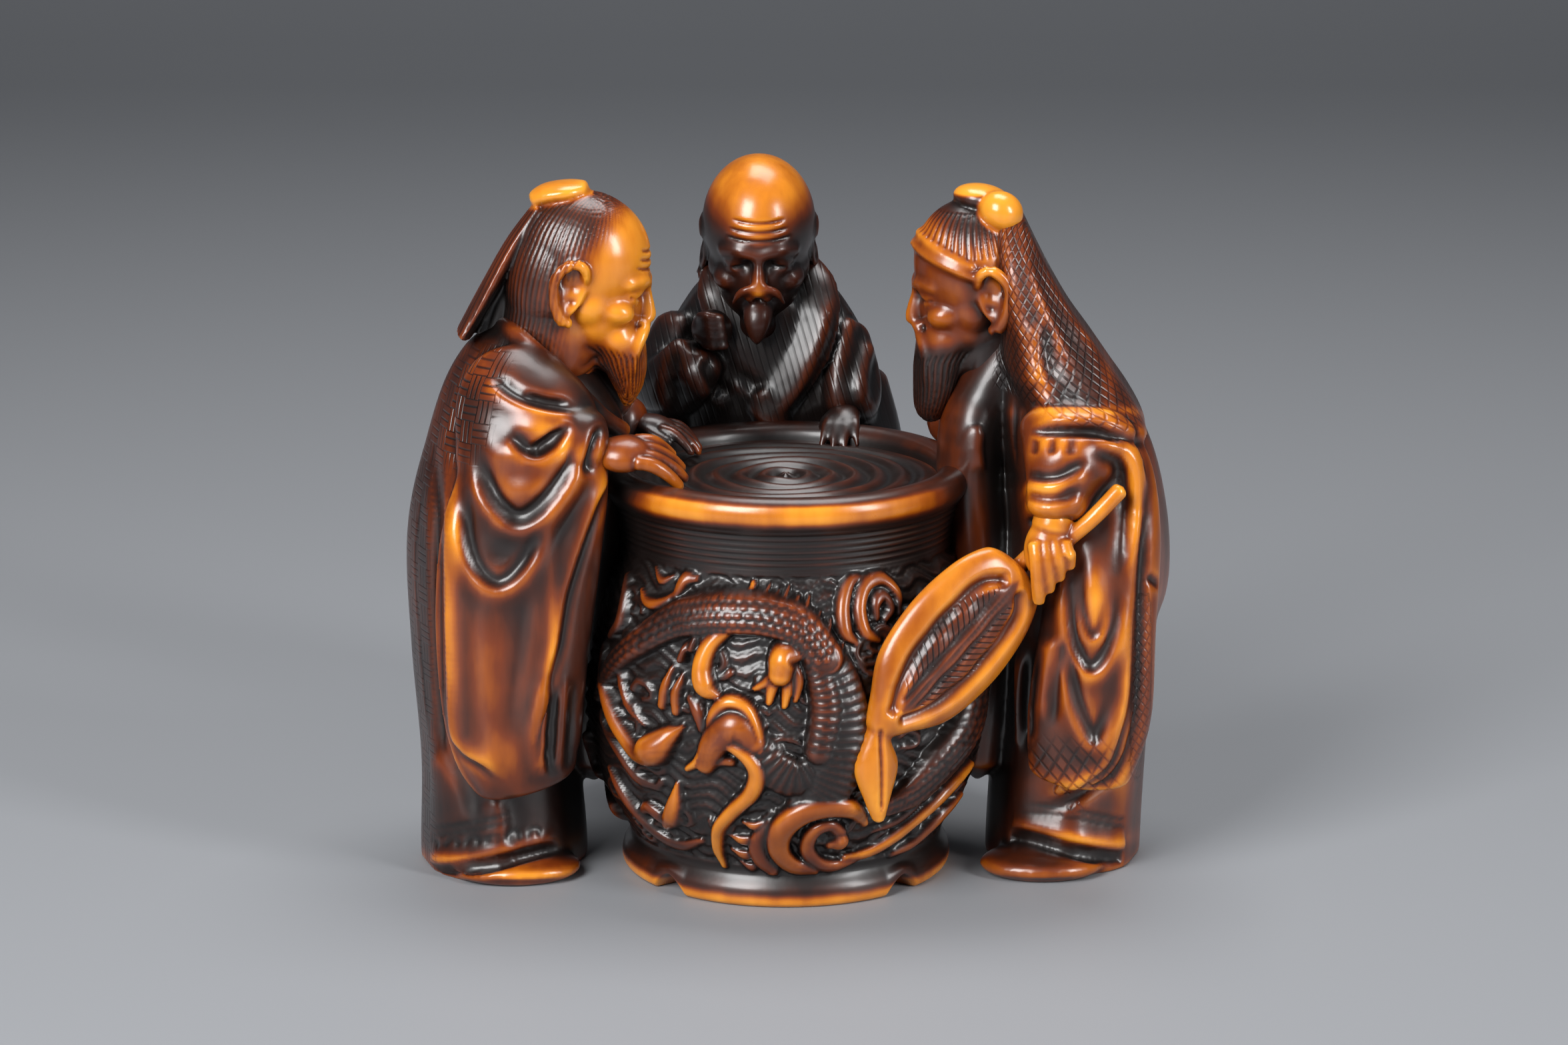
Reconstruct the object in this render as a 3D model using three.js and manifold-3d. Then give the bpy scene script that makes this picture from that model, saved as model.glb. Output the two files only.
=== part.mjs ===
// A netsuke: three robed sages standing round a vinegar jar, carved from one solid block.
// Millimetres, +Z up. The origin is the centre of the jar's foot, on the ground. The open side of
// the ring of figures faces -Y. One sage stands on each side of the jar, along X, and one behind it.

import * as THREE from 'three';
import { mergeVertices } from 'three/addons/utils/BufferGeometryUtils.js';
import Module from 'manifold-3d';

const wasm = await Module();
wasm.setup();

// ---------------------------------------------------------------- driving dimensions

const JAR_HEIGHT = 22.5;
const JAR_FOOT_RADIUS = 8.9;
const JAR_BELLY_RADIUS = 11.1;
const JAR_RIM_RADIUS = 9.85;
const VINEGAR_DEPTH = 1.0; // how far the carved liquid lies below the rim
const SAGE_SPACING = 15.3; // from the jar's axis to the middle of a side sage
const REAR_SAGE_SPACING = 14.4; // from the jar's axis to the middle of the rear sage
const REAR_SAGE_OFFSET = -1.2;
const HEAD_HEIGHT = 9.4; // crown to chin
const CORD_HOLE_DIAMETER = 2.6;
const GROUND_TRIM = 2; // everything is carved this far past the ground, then cut flat

const X_AXIS = new THREE.Vector3(1, 0, 0);
const Y_AXIS = new THREE.Vector3(0, 1, 0);
const Z_AXIS = new THREE.Vector3(0, 0, 1);

// ---------------------------------------------------------------- carving tools

const rad = THREE.MathUtils.degToRad;

/** Turns each triangle of a closed skin round if the skin is inside out. */
function facingOut(geometry) {
  const p = geometry.attributes.position;
  const index = geometry.index.array;
  const [a, b, c] = [new THREE.Vector3(), new THREE.Vector3(), new THREE.Vector3()];
  let volume = 0;
  for (let i = 0; i < index.length; i += 3) {
    a.fromBufferAttribute(p, index[i]);
    b.fromBufferAttribute(p, index[i + 1]);
    c.fromBufferAttribute(p, index[i + 2]);
    volume += a.dot(b.cross(c));
  }
  if (volume < 0) {
    for (let i = 0; i < index.length; i += 3) {
      [index[i + 1], index[i + 2]] = [index[i + 2], index[i + 1]];
    }
  }
  return geometry;
}

/** A closed skin as a solid that can be joined and cut. */
function solid(geometry) {
  const bare = geometry.clone();
  bare.deleteAttribute('normal');
  bare.deleteAttribute('uv');
  const merged = facingOut(mergeVertices(bare, 1e-4));
  return new wasm.Manifold(new wasm.Mesh({
    numProp: 3,
    vertProperties: new Float32Array(merged.attributes.position.array),
    triVerts: new Uint32Array(merged.index.array),
  }));
}

/** Joins any number of skins into one solid. */
function fuse(skins) {
  return skins.flat(Infinity).map(solid).reduce((whole, next) => whole.add(next));
}

/** Fills the pockets that joined masses have shut in. */
function withoutPockets(whole) {
  return whole.decompose().filter((body) => body.volume() > 0).reduce((all, body) => all.add(body));
}

/** An ellipsoid, turned by Euler angles in degrees. */
function blob(centre, radii, turn = [0, 0, 0], sides = 8, rows = 5) {
  const skin = new THREE.SphereGeometry(1, sides, rows);
  skin.rotateX(Math.PI / 2);
  skin.scale(...radii);
  skin.applyMatrix4(new THREE.Matrix4().makeRotationFromEuler(new THREE.Euler(...turn.map(rad))));
  skin.translate(...centre);
  return skin;
}

/**
 * A closed skin swept along a smooth spine. Each station is [x, y, z, wide, thick]: a point of the
 * spine and the half sizes of the section there, the wide one along `across`. `relief` swells the
 * section by a factor for each angle round it and each row, and `sag` slides the front of each row
 * along the spine, so that rows hang like swags of cloth.
 */
function sweep(stations, options = {}) {
  const { across = X_AXIS, sides = 10, steps = 5, relief = () => 1, sag = 0 } = options;
  const spine = new THREE.CatmullRomCurve3(stations.map((s) => new THREE.Vector3(s[0], s[1], s[2])));
  const girth = new THREE.CatmullRomCurve3(stations.map((s) => new THREE.Vector3(s[3], s[4], 0)));
  const rows = steps + 2;
  const skin = new THREE.SphereGeometry(1, sides, rows);
  const place = skin.attributes.position;
  for (let row = 0; row <= rows; row += 1) {
    const isPole = row === 0 || row === rows;
    const even = THREE.MathUtils.clamp((row - 1) / steps, 0, 1);
    for (let column = 0; column <= sides; column += 1) {
      const angle = (2 * Math.PI * (column % sides)) / sides;
      const t = even + sag * Math.sin(Math.PI * even) * Math.sin(angle);
      const along = spine.getTangent(t);
      const wideWay = across.clone().addScaledVector(along, -across.dot(along)).normalize();
      const thickWay = new THREE.Vector3().crossVectors(along, wideWay);
      const half = girth.getPoint(t);
      const swell = isPole ? 0 : relief(angle, row);
      const point = spine.getPoint(t)
        .addScaledVector(wideWay, Math.max(half.x, 0.05) * swell * Math.cos(angle))
        .addScaledVector(thickWay, Math.max(half.y, 0.05) * swell * Math.sin(angle));
      place.setXYZ(row * (sides + 1) + column, point.x, point.y, point.z);
    }
  }
  return skin;
}

/** Cloth that hangs in flutes all round a section. */
const flutes = (count, depth) => (angle) => 1 + depth * Math.cos(count * angle);

/** Cloth whose every other row stands proud at the front, as the swags of a hanging sleeve. */
const swags = (depth) => (angle, row) => 1 + depth * (row % 2 ? 1 : -1) * Math.max(Math.sin(angle), 0);

/** A round rope of changing radius along points [x, y, z, radius]. */
function rope(points, options = {}) {
  return sweep(points.map(([x, y, z, r]) => [x, y, z, r, r]), { sides: 4, steps: 4, ...options });
}

/** Skins made about a local origin, then turned and put in place. */
function placed(skins, matrix) {
  return skins.flat(Infinity).map((skin) => skin.applyMatrix4(matrix));
}

/** Local +X is where a head looks or a hand points: heading is in degrees from +X, nod is downward. */
function pose(centre, heading, nod = 0, roll = 0) {
  return new THREE.Matrix4()
    .makeTranslation(...centre)
    .multiply(new THREE.Matrix4().makeRotationZ(rad(heading)))
    .multiply(new THREE.Matrix4().makeRotationY(rad(nod)))
    .multiply(new THREE.Matrix4().makeRotationX(rad(roll)));
}

// ---------------------------------------------------------------- the jar

const JAR_PROFILE = [ // [radius, height], from the ground up to the middle of the liquid
  [JAR_FOOT_RADIUS, -GROUND_TRIM],
  [JAR_FOOT_RADIUS, 1.0],
  [JAR_FOOT_RADIUS - 0.4, 2.0],
  [JAR_BELLY_RADIUS - 0.9, 5.0],
  [JAR_BELLY_RADIUS, 9.4],
  [JAR_BELLY_RADIUS - 0.5, 14.0],
  [JAR_BELLY_RADIUS - 1.7, 17.6],
  [JAR_RIM_RADIUS - 0.75, 18.5],
  [JAR_RIM_RADIUS - 0.45, 20.0],
  [JAR_RIM_RADIUS, 21.0],
  [JAR_RIM_RADIUS - 0.3, 22.1],
  [JAR_RIM_RADIUS - 1.1, JAR_HEIGHT],
  [JAR_RIM_RADIUS - 1.8, JAR_HEIGHT - VINEGAR_DEPTH],
];
const RIPPLE_RADII = [5.2, 2.6];
const RIPPLE_HEIGHT = 0.22;
const NOTCHES = 4; // between the four bracket feet of the jar
const JAR_SIDES = 24;

/** The jar's radius at a height, between the profile's points. */
function jarRadius(height) {
  const wall = JAR_PROFILE.filter(([, z]) => z < 21);
  const next = wall.findIndex(([, z]) => z > height);
  const [[r0, z0], [r1, z1]] = [wall[next - 1], wall[next]];
  return THREE.MathUtils.lerp(r0, r1, (height - z0) / (z1 - z0));
}

/** A point on the jar's wall: angle in degrees to the right of -Y, and height. */
function onJar(angle, height, proud = 0) {
  const r = jarRadius(height) + proud;
  return new THREE.Vector3(r * Math.sin(rad(angle)), -r * Math.cos(rad(angle)), height);
}

function jarBody() {
  const profile = [new THREE.Vector2(0, -GROUND_TRIM)];
  for (const [r, z] of JAR_PROFILE) profile.push(new THREE.Vector2(r, z));
  for (const r of RIPPLE_RADII) {
    const level = JAR_HEIGHT - VINEGAR_DEPTH;
    profile.push(new THREE.Vector2(r + 0.9, level));
    profile.push(new THREE.Vector2(r, level + RIPPLE_HEIGHT));
  }
  profile.push(new THREE.Vector2(0, JAR_HEIGHT - VINEGAR_DEPTH));
  return new THREE.LatheGeometry(profile, JAR_SIDES).rotateX(Math.PI / 2);
}

/** The cusped notches that part the bracket feet. */
function footNotches() {
  const notches = [];
  for (let i = 0; i < NOTCHES; i += 1) {
    const angle = 45 + (360 / NOTCHES) * i;
    const at = [JAR_FOOT_RADIUS * Math.sin(rad(angle)), -JAR_FOOT_RADIUS * Math.cos(rad(angle)), 0];
    notches.push(blob(at, [1.1, 1.5, 0.95], [0, 0, angle], 8, 6));
  }
  return notches;
}

/** A raised strand that follows the jar's wall through [angle, height, radius] points. */
function jarStrand(points, options = {}) {
  return rope(points.map(([angle, height, r]) => {
    const p = onJar(angle, height);
    return [p.x, p.y, p.z, r];
  }), options);
}

/** A spiral of cloud or wave that winds in round [angle, height]. */
function scroll(angle, height, radius, thickness, turns = 1.2, start = 0, way = 1) {
  const points = [];
  const count = 9;
  for (let i = 0; i <= count; i += 1) {
    const t = i / count;
    const swirl = rad(start) + way * 2 * Math.PI * turns * t;
    const reach = radius * (1 - 0.85 * t);
    const degrees = (reach * Math.cos(swirl)) / rad(jarRadius(height));
    points.push([angle + degrees, height + reach * Math.sin(swirl), thickness * (1 - 0.35 * t)]);
  }
  return jarStrand(points, { steps: 8 });
}

const DRAGON_BODY = [ // [angle, height, radius] along the back, from the tail to the shoulder
  [-60, 11.4, 0.6],
  [-47, 13.9, 1.0],
  [-30, 16.0, 1.3],
  [-12, 16.6, 1.35],
  [6, 15.6, 1.3],
  [17, 12.4, 1.3],
  [14, 8.8, 1.35],
  [4, 7.4, 1.25],
  [-9, 9.4, 1.0],
];

function dragon() {
  const brow = onJar(-13, 10.7, 0.4);
  const snout = onJar(-22, 9.3, 0.3);
  return [
    jarStrand(DRAGON_BODY, { sides: 5, steps: 12 }),
    blob(brow.toArray(), [1.5, 1.3, 1.3], [0, 0, -13], 7, 5),
    blob(snout.toArray(), [1.8, 1.0, 0.7], [0, -20, -23], 6, 4),
    jarStrand([[-15, 17.3, 0.25], [-19.5, 15.4, 0.42], [-23, 13.3, 0.45], [-18, 11.4, 0.4]]),
    jarStrand([[-62, 13.1, 0.25], [-52, 10.4, 0.5], [-38, 8.6, 0.85], [-29, 10.0, 0.35]]),
    jarStrand([[-15, 9.8, 0.4], [-7, 8.1, 0.45], [-10, 5.9, 0.42], [-20.5, 3.8, 0.4], [-21, 2.2, 0.3]],
      { steps: 6 }),
    jarStrand([[12, 11.4, 0.9], [6, 13.4, 0.7], [0, 12.9, 0.95], [-2, 11.4, 0.5]]),
  ];
}

function clouds() {
  return [
    scroll(17, 4.3, 2.2, 0.6, 1.3, 200, -1),
    jarStrand([[-5, 3.0, 0.55], [1, 5.2, 0.6], [12, 6.8, 0.65], [21, 6.2, 0.5]]),
    jarStrand([[6, 2.7, 0.5], [24, 2.8, 0.6], [42, 4.2, 0.6], [62, 6.4, 0.35]]),
    scroll(31, 15.2, 1.8, 0.5, 1.1, 170, -1),
    scroll(-57, 16.0, 1.6, 0.45, 1.1, 0, 1),
    jarStrand([[-62, 5.4, 0.4], [-50, 3.4, 0.6], [-32, 4.6, 0.5]]),
  ];
}

// ---------------------------------------------------------------- heads and hands

/**
 * Rises and hollows of a face: [turn from the nose in degrees, height, spread in degrees, spread in
 * height, proud]. Heights and proud are shares of the head's height, and each one has its mirror.
 */
const FACE = [
  [0, 0.08, 50, 0.06, 0.03], // brow
  [19, -0.02, 10, 0.06, -0.05], // eye sockets
  [0, -0.13, 8, 0.09, 0.11], // nose
  [34, -0.12, 14, 0.09, 0.025], // cheekbones
  [0, -0.27, 16, 0.04, 0.045], // lips
  [0, -0.4, 18, 0.06, 0.06], // chin
];
const JAW_WIDTH = 0.74; // of the skull's

/** A bare head with its ears, looking along local +X. */
function bareHead(h = HEAD_HEIGHT) {
  const skin = new THREE.SphereGeometry(1, 14, 11).rotateX(Math.PI / 2);
  const place = skin.attributes.position;
  for (let i = 0; i < place.count; i += 1) {
    const [x, y, z] = [place.getX(i), place.getY(i), place.getZ(i)];
    const flat = Math.hypot(x, y);
    const even = Math.atan2(y, x);
    const turn = even - 0.42 * Math.sin(even); // columns gather at the face
    const jaw = THREE.MathUtils.lerp(1, JAW_WIDTH, THREE.MathUtils.smoothstep(-z, -0.1, 0.8));
    const nape = turn > 1.6 || turn < -1.6 ? jaw * jaw : 1;
    let proud = 0;
    for (const [faceTurn, height, turnSpread, heightSpread, rise] of FACE) {
      const off = (THREE.MathUtils.radToDeg(Math.abs(turn)) - faceTurn) / turnSpread;
      const up = (0.5 * z - height) / heightSpread;
      proud += rise * Math.exp(-off * off - up * up);
    }
    const depth = flat > 1e-6 ? 0.37 * nape * flat + proud : 0;
    const width = flat > 1e-6 ? 0.315 * jaw * flat + proud * 0.6 : 0;
    place.setXYZ(i, h * depth * Math.cos(turn), h * width * Math.sin(turn), 0.5 * h * z);
  }
  const ears = [-1, 1].map((side) => blob([-0.05 * h, side * 0.3 * h, -0.06 * h],
    [0.09 * h, 0.05 * h, 0.19 * h], [side * 8, 12, 0], 6, 4));
  return [skin, ears];
}

/** A hand with four long fingers along local +X and a thumb, palm down. */
function hand(length = 5, curl = 0.35) {
  const knuckles = (angle, row) => 1 + (row > 1 ? 0.15 : 0) * Math.cos(8 * angle);
  const fingers = sweep([[0, 0, 0, 0.2 * length, 0.15 * length],
    [0.35 * length, 0, 0, 0.26 * length, 0.15 * length],
    [0.8 * length, 0, -0.1 * curl * length, 0.25 * length, 0.12 * length],
    [length, 0, -0.4 * curl * length, 0.2 * length, 0.08 * length]],
  { across: Y_AXIS, sides: 16, steps: 3, relief: knuckles });
  const thumb = rope([[0.1 * length, 0.2 * length, -0.05 * length, 0.09 * length],
    [0.6 * length, 0.34 * length, -0.2 * length, 0.07 * length]], { steps: 1 });
  return [fingers, thumb];
}

// ---------------------------------------------------------------- the sage on the left

function leftSage() {
  const x = -SAGE_SPACING;
  const robe = sweep([[x - 0.2, 0.5, -GROUND_TRIM, 4.7, 5.6], [x - 0.2, 0.5, 1, 4.5, 5.4],
    [x - 0.3, 0.5, 6, 4.3, 5.2], [x - 0.4, 0.5, 12, 4.6, 5.7], [x - 0.2, 0.4, 18, 4.9, 6.2],
    [x + 0.5, 0.3, 22.5, 4.6, 6.2], [x + 1.2, 0.2, 26, 3.9, 5.2], [x + 1.8, 0.1, 29.0, 2.6, 3.2]],
  { sides: 14, steps: 8, relief: flutes(4, 0.035) });
  const nearSleeve = sweep([[x + 1.6, -4.4, 26.0, 2.8, 1.5], [x + 2.0, -5.7, 22.8, 3.9, 2.2],
    [x + 1.2, -6.1, 18, 4.3, 2.1], [x + 0.8, -6.2, 12.5, 4.0, 1.9], [x + 1.0, -6.0, 8.2, 3.5, 1.7],
    [x + 2.2, -5.6, 4.9, 2.6, 1.1]], { sides: 12, steps: 9, relief: swags(0.08), sag: 0.17 });
  const sleeveBorder = rope([[x + 6.3, -6.0, 24.2, 0.7], [x + 5.2, -6.7, 17, 0.6],
    [x + 4.3, -6.7, 10, 0.6],
    [x + 3.4, -6.2, 4.4, 0.6]]);
  const farSleeve = sweep([[x + 1.4, 4.6, 25.6, 2.6, 1.6], [x + 2.0, 6.0, 22, 3.7, 2.0],
    [x + 1.4, 6.6, 15, 3.8, 1.9], [x + 1.8, 6.2, 8.6, 2.0, 1.0]], { sides: 8, steps: 4 });
  return [
    robe,
    placed(bareHead(), pose([x + 4.6, 0, 32.3], 0, 14)),
    blob([x + 3.2, 0, 32.0], [2.6, 3.0, 4.1], [0, 14, 0], 8, 6), // hair, tied up behind
    blob([x + 3.0, 0, 28.4], [2.2, 2.7, 2.4], [0, 0, 0], 6, 4), // nape
    blob([x + 3.1, 0, 36.7], [1.85, 1.5, 0.75], [0, -12, 0]), // topknot cap
    sweep([[x + 2.4, 0, 36.2, 1.0, 0.4], [x + 0.2, 0, 33.0, 1.8, 0.4], [x - 2.2, 0, 28.7, 2.3, 0.4]],
      { across: Y_AXIS, sides: 6, steps: 4 }), // cap's tail
    blob([x + 0.4, 0, 29.8], [2.4, 1.3, 2.8], [0, 30, 0], 6, 4), // web under the cap's tail
    sweep([[x + 6.6, 0, 29.6, 1.9, 1.3], [x + 6.9, 0, 27.6, 1.5, 1.1], [x + 7.0, 0, 25.2, 0.5, 0.45]],
      { across: Y_AXIS, sides: 6, steps: 3 }), // beard
    nearSleeve,
    sleeveBorder,
    sweep([[x + 1.0, -5.4, 24.8, 2.0, 2.0], [x + 4.2, -5.7, 24.4, 1.8, 1.8],
      [x + 6.4, -5.6, 24.2, 1.3, 1.3]],
      { across: Z_AXIS, sides: 7, steps: 3 }), // near forearm
    placed(hand(4.8, 0.25), pose([x + 6.1, -5.6, 24.2], 6, 12)),
    farSleeve,
    sweep([[x + 1.6, 5.4, 24.4, 1.9, 1.9], [x + 5.6, 4.6, 23.8, 1.6, 1.5],
      [x + 7.6, 4.0, 23.4, 1.0, 1.2]],
      { across: Z_AXIS, sides: 6, steps: 2 }), // far forearm
    blob([x + 4.2, 1.6, 9.2], [2.2, 3.2, 6.4], [0, 0, 0], 6, 4), // web left between robe and jar
    blob([x + 0.6, -3.4, 0.4], [3.6, 2.4, 0.9], [0, 0, 0], 8, 4), // shoe
  ];
}

// ---------------------------------------------------------------- the sage on the right

function rightSage() {
  const x = SAGE_SPACING;
  const robe = sweep([[x, 1.4, -GROUND_TRIM, 4.4, 5.3], [x, 1.4, 1, 4.2, 5.1],
    [x + 0.2, 1.4, 6, 4.2, 5.0],
    [x + 0.4, 1.3, 13, 4.4, 5.3], [x + 0.8, 1.2, 15.4, 4.9, 6.2], [x + 0.8, 1.2, 19, 4.5, 6.0],
    [x + 0.2, 1.1, 22.6, 4.2, 5.9], [x - 1.2, 1.0, 26, 3.6, 5.0], [x - 2.4, 1.0, 29, 2.6, 3.0]],
  { sides: 14, steps: 9, relief: flutes(4, 0.035) });
  const hood = sweep([[x - 3.4, 0.9, 35.7, 0.7, 1.6], [x - 3.2, 0.9, 33.6, 1.3, 2.8],
    [x - 2.4, 0.9, 30.6, 2.1, 3.7], [x - 1.2, 1.0, 27.0, 3.2, 4.9], [x - 0.1, 1.0, 23.4, 4.2, 6.1]],
  { sides: 12, steps: 5 });
  const nearSleeve = sweep([[x + 0.8, -4.6, 23.4, 2.6, 1.5], [x + 1.4, -5.4, 19.5, 3.1, 1.7],
    [x + 1.1, -5.8, 14.5, 3.1, 1.8], [x + 0.8, -5.8, 9.6, 3.2, 1.7], [x + 0.1, -5.5, 5.2, 2.5, 1.2]],
  { sides: 12, steps: 8, relief: swags(0.08), sag: 0.2 });
  const sleeveBorder = rope([[x - 1.4, -6.8, 14.6, 0.5], [x - 2.5, -6.9, 9.6, 0.6],
    [x - 1.9, -6.5, 5.0, 0.6],
    [x + 1.4, -6.3, 4.8, 0.5]]);
  const farSleeve = sweep([[x - 0.3, 5.8, 25.2, 2.6, 1.6], [x - 1.2, 7.0, 22.0, 3.6, 2.0],
    [x - 0.8, 7.4, 15, 3.7, 1.9], [x - 1.2, 6.8, 8.6, 2.0, 1.0]], { sides: 8, steps: 4 });
  return [
    robe,
    placed(bareHead(), pose([x - 5.0, 0.9, 31.8], 180, 10)),
    hood,
    blob([x - 3.9, -0.5, 36.0], [1.15, 1.15, 1.1], [0, 0, 0], 7, 5), // cap's knob
    blob([x - 5.0, 0.6, 36.4], [1.7, 1.5, 0.8], [0, 8, 0]), // topknot
    sweep([[x - 6.6, 0.9, 29.4, 2.1, 1.6], [x - 7.1, 0.9, 26.8, 1.8, 1.4],
      [x - 7.5, 0.9, 24.0, 1.0, 0.8]],
      { across: Y_AXIS, sides: 6, steps: 3 }), // beard
    sweep([[x - 0.2, -4.4, 24.8, 2.4, 1.6], [x - 0.8, -5.9, 22.6, 2.2, 1.8],
      [x - 1.2, -6.9, 19.6, 1.6, 1.4]],
      { sides: 7, steps: 3 }), // near arm
    rope([[x - 2.9, -7.4, 22.4, 0.5], [x - 1.0, -7.9, 21.7, 0.55], [x + 1.2, -7.2, 22.4, 0.5]]), // cuff
    placed(hand(5.4, 0.14), pose([x - 1.3, -7.4, 19.8], 180, 84, -90)),
    nearSleeve,
    sleeveBorder,
    farSleeve,
    sweep([[x - 1.6, 6.4, 24.0, 1.9, 1.9], [x - 5.4, 5.6, 23.4, 1.6, 1.5],
      [x - 7.4, 4.8, 23.2, 1.0, 1.2]],
      { across: Z_AXIS, sides: 6, steps: 2 }), // far forearm
    blob([x - 4.0, 2.6, 9.2], [2.2, 3.2, 6.4], [0, 0, 0], 6, 4), // web left between robe and jar
    blob([x - 1.4, -2.8, 0.4], [3.4, 2.4, 0.9], [0, 0, 0], 8, 4), // shoe
  ];
}

const FAN_LENGTH = 11.5;
const FAN_WIDTH = 6.0;
const FAN_TILT = 43; // degrees above the ground, from the tip up to the handle

/** The leaf fan that leans on the jar's shoulder, its handle in the right-hand sage's hand. */
function fan() {
  const ridges = (angle) => (Math.sin(angle) > 0 && Math.cos(4 * angle) < -0.9 ? 0.78 : 1);
  const blade = sweep([[-0.2, 0, 0, 0.5, 0.6], [3.0, 0, 0, 2.6, 1.3], [6.0, 0, 0, FAN_WIDTH / 2, 1.4],
    [9.2, 0, 0, 2.8, 1.4], [FAN_LENGTH, 0, 0, 1.8, 0.9]], { across: Z_AXIS, sides: 16, relief: ridges });
  const tip = sweep([[0.6, 0, 0.3, 0.6, 0.6], [-1.5, 0, -1.6, 1.2, 0.7], [-3.4, 0, -3.9, 0.3, 0.4]],
    { across: Z_AXIS, sides: 6, steps: 4 });
  const handle = sweep([[FAN_LENGTH - 0.6, 0, 0, 0.5, 0.5], [FAN_LENGTH + 5.4, 1.2, -1.2, 0.75, 0.6]],
    { across: Z_AXIS, sides: 6, steps: 1 });
  const place = new THREE.Matrix4()
    .makeTranslation(4.7, -10.7, 10.5)
    .multiply(new THREE.Matrix4().makeRotationZ(rad(26)))
    .multiply(new THREE.Matrix4().makeRotationY(rad(-FAN_TILT)));
  return placed([blade, tip, handle], place);
}

// ---------------------------------------------------------------- the sage behind

function rearSage() {
  const x = REAR_SAGE_OFFSET;
  const y = REAR_SAGE_SPACING;
  const robe = sweep([[x, y + 0.2, -GROUND_TRIM, 6.1, 4.9], [x, y + 0.2, 1, 6.0, 4.7],
    [x, y + 0.2, 8, 5.8, 4.5],
    [x, y + 0.2, 16, 6.2, 4.6], [x, y, 21, 6.4, 4.7], [x, y - 0.8, 25.8, 5.8, 4.2],
    [x, y - 1.2, 29.2, 4.0, 3.4], [x, y - 1.4, 31.0, 2.2, 2.4]],
  { sides: 14, steps: 8, relief: flutes(4, 0.035) });
  return [
    robe,
    placed(bareHead(HEAD_HEIGHT * 1.05), pose([x - 0.3, y - 2.9, 32.1], -90, 12)),
    rope([[x + 2.4, y - 3.4, 30.0, 0.5], [x + 2.4, y - 5.0, 26.6, 0.6],
      [x - 0.4, y - 5.4, 22.2, 0.5]]), // collar
    rope([[x - 2.2, y - 3.6, 30.2, 0.5], [x - 1.6, y - 5.0, 27.0, 0.55],
      [x + 1.0, y - 5.6, 23.8, 0.45]]), // collar
    sweep([[x - 4.0, y - 1.2, 27.6, 1.9, 1.9], [x - 5.4, y - 3.4, 24.4, 2.1, 2.0],
      [x - 4.3, y - 5.0, 25.2, 1.8, 1.6],
      [x - 3.2, y - 5.0, 27.4, 1.2, 1.2]], { sides: 7 }), // arm raised to the chin
    blob([x - 2.8, y - 5.2, 28.2], [1.25, 1.1, 1.35], [0, 20, 0], 7, 5), // fist at the chin
    sweep([[x + 3.8, y - 1.4, 27.2, 1.9, 2.0], [x + 4.8, y - 3.2, 24.0, 1.8, 1.9],
      [x + 4.6, y - 4.6, 22.6, 1.5, 1.5]],
      { sides: 7, steps: 3 }), // arm that leans on the rim
    placed(hand(4.2, 0.3), pose([x + 4.6, y - 4.4, 22.9], -98, 8)),
    [-1, 1].map((side) => sweep([[x + side * 5.0, y - 0.6, 24.6, 1.7, 2.6],
      [x + side * 6.0, y - 0.8, 18, 1.9, 3.0],
      [x + side * 5.4, y - 0.4, 9, 0.9, 1.4]], { sides: 8, steps: 4 })), // hanging sleeves
  ];
}

/** The curved channel for the cord, which opens twice on the rear sage's back. */
function cordChannel() {
  const r = CORD_HOLE_DIAMETER / 2;
  const y = REAR_SAGE_SPACING + 5.6;
  const x = REAR_SAGE_OFFSET;
  return rope([[x - 3.2, y + 1, 14.5, r], [x - 2.6, y - 1.4, 14.2, r], [x, y - 3.2, 13.5, r],
    [x + 2.6, y - 1.4, 12.8, r], [x + 3.2, y + 1, 12.5, r]], { across: Z_AXIS, sides: 8, steps: 8 });
}

// ---------------------------------------------------------------- the whole carving

function carving() {
  const blank = fuse([jarBody(), dragon(), clouds(), leftSage(), rightSage(), fan(), rearSage()]);
  const ground = new THREE.BoxGeometry(100, 100, 2 * GROUND_TRIM).translate(0, 0, -GROUND_TRIM);
  const cuts = [solid(ground), ...footNotches().map(solid), solid(cordChannel())];
  return withoutPockets(cuts.reduce((whole, cut) => whole.subtract(cut), blank));
}

/** A finished solid as geometry for a mesh. */
function geometryOf(manifold) {
  const mesh = manifold.getMesh();
  const geometry = new THREE.BufferGeometry();
  geometry.setAttribute('position', new THREE.BufferAttribute(mesh.vertProperties, 3));
  geometry.setIndex(new THREE.BufferAttribute(mesh.triVerts, 1));
  geometry.computeVertexNormals();
  return geometry;
}

const stainedIvory = new THREE.MeshStandardMaterial({ color: 0x8a4a17, roughness: 0.3, metalness: 0 });
const netsuke = new THREE.Mesh(geometryOf(carving()), stainedIvory);
netsuke.name = 'netsuke';

const group = new THREE.Group();
group.add(netsuke);

export default group;
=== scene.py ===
# %% [markdown]
# # A netsuke in stained ivory
# A netsuke is a small toggle that hung a pouch from a sash. This one is 42 mm wide and shows three
# robed sages round a vinegar jar. The carver cut it from one lump of ivory, stained it dark, and
# then polished the high places until the amber colour of the material came back through the stain.
# The lesson follows the same order: rough masses, folds and faces, fine engraving, stain, polish.

# %% The frame and the units
import math
import bmesh
import bpy
import numpy as np
from mathutils import Euler, Matrix, Vector
from mathutils.bvhtree import BVHTree
from mathutils.kdtree import KDTree


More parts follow.
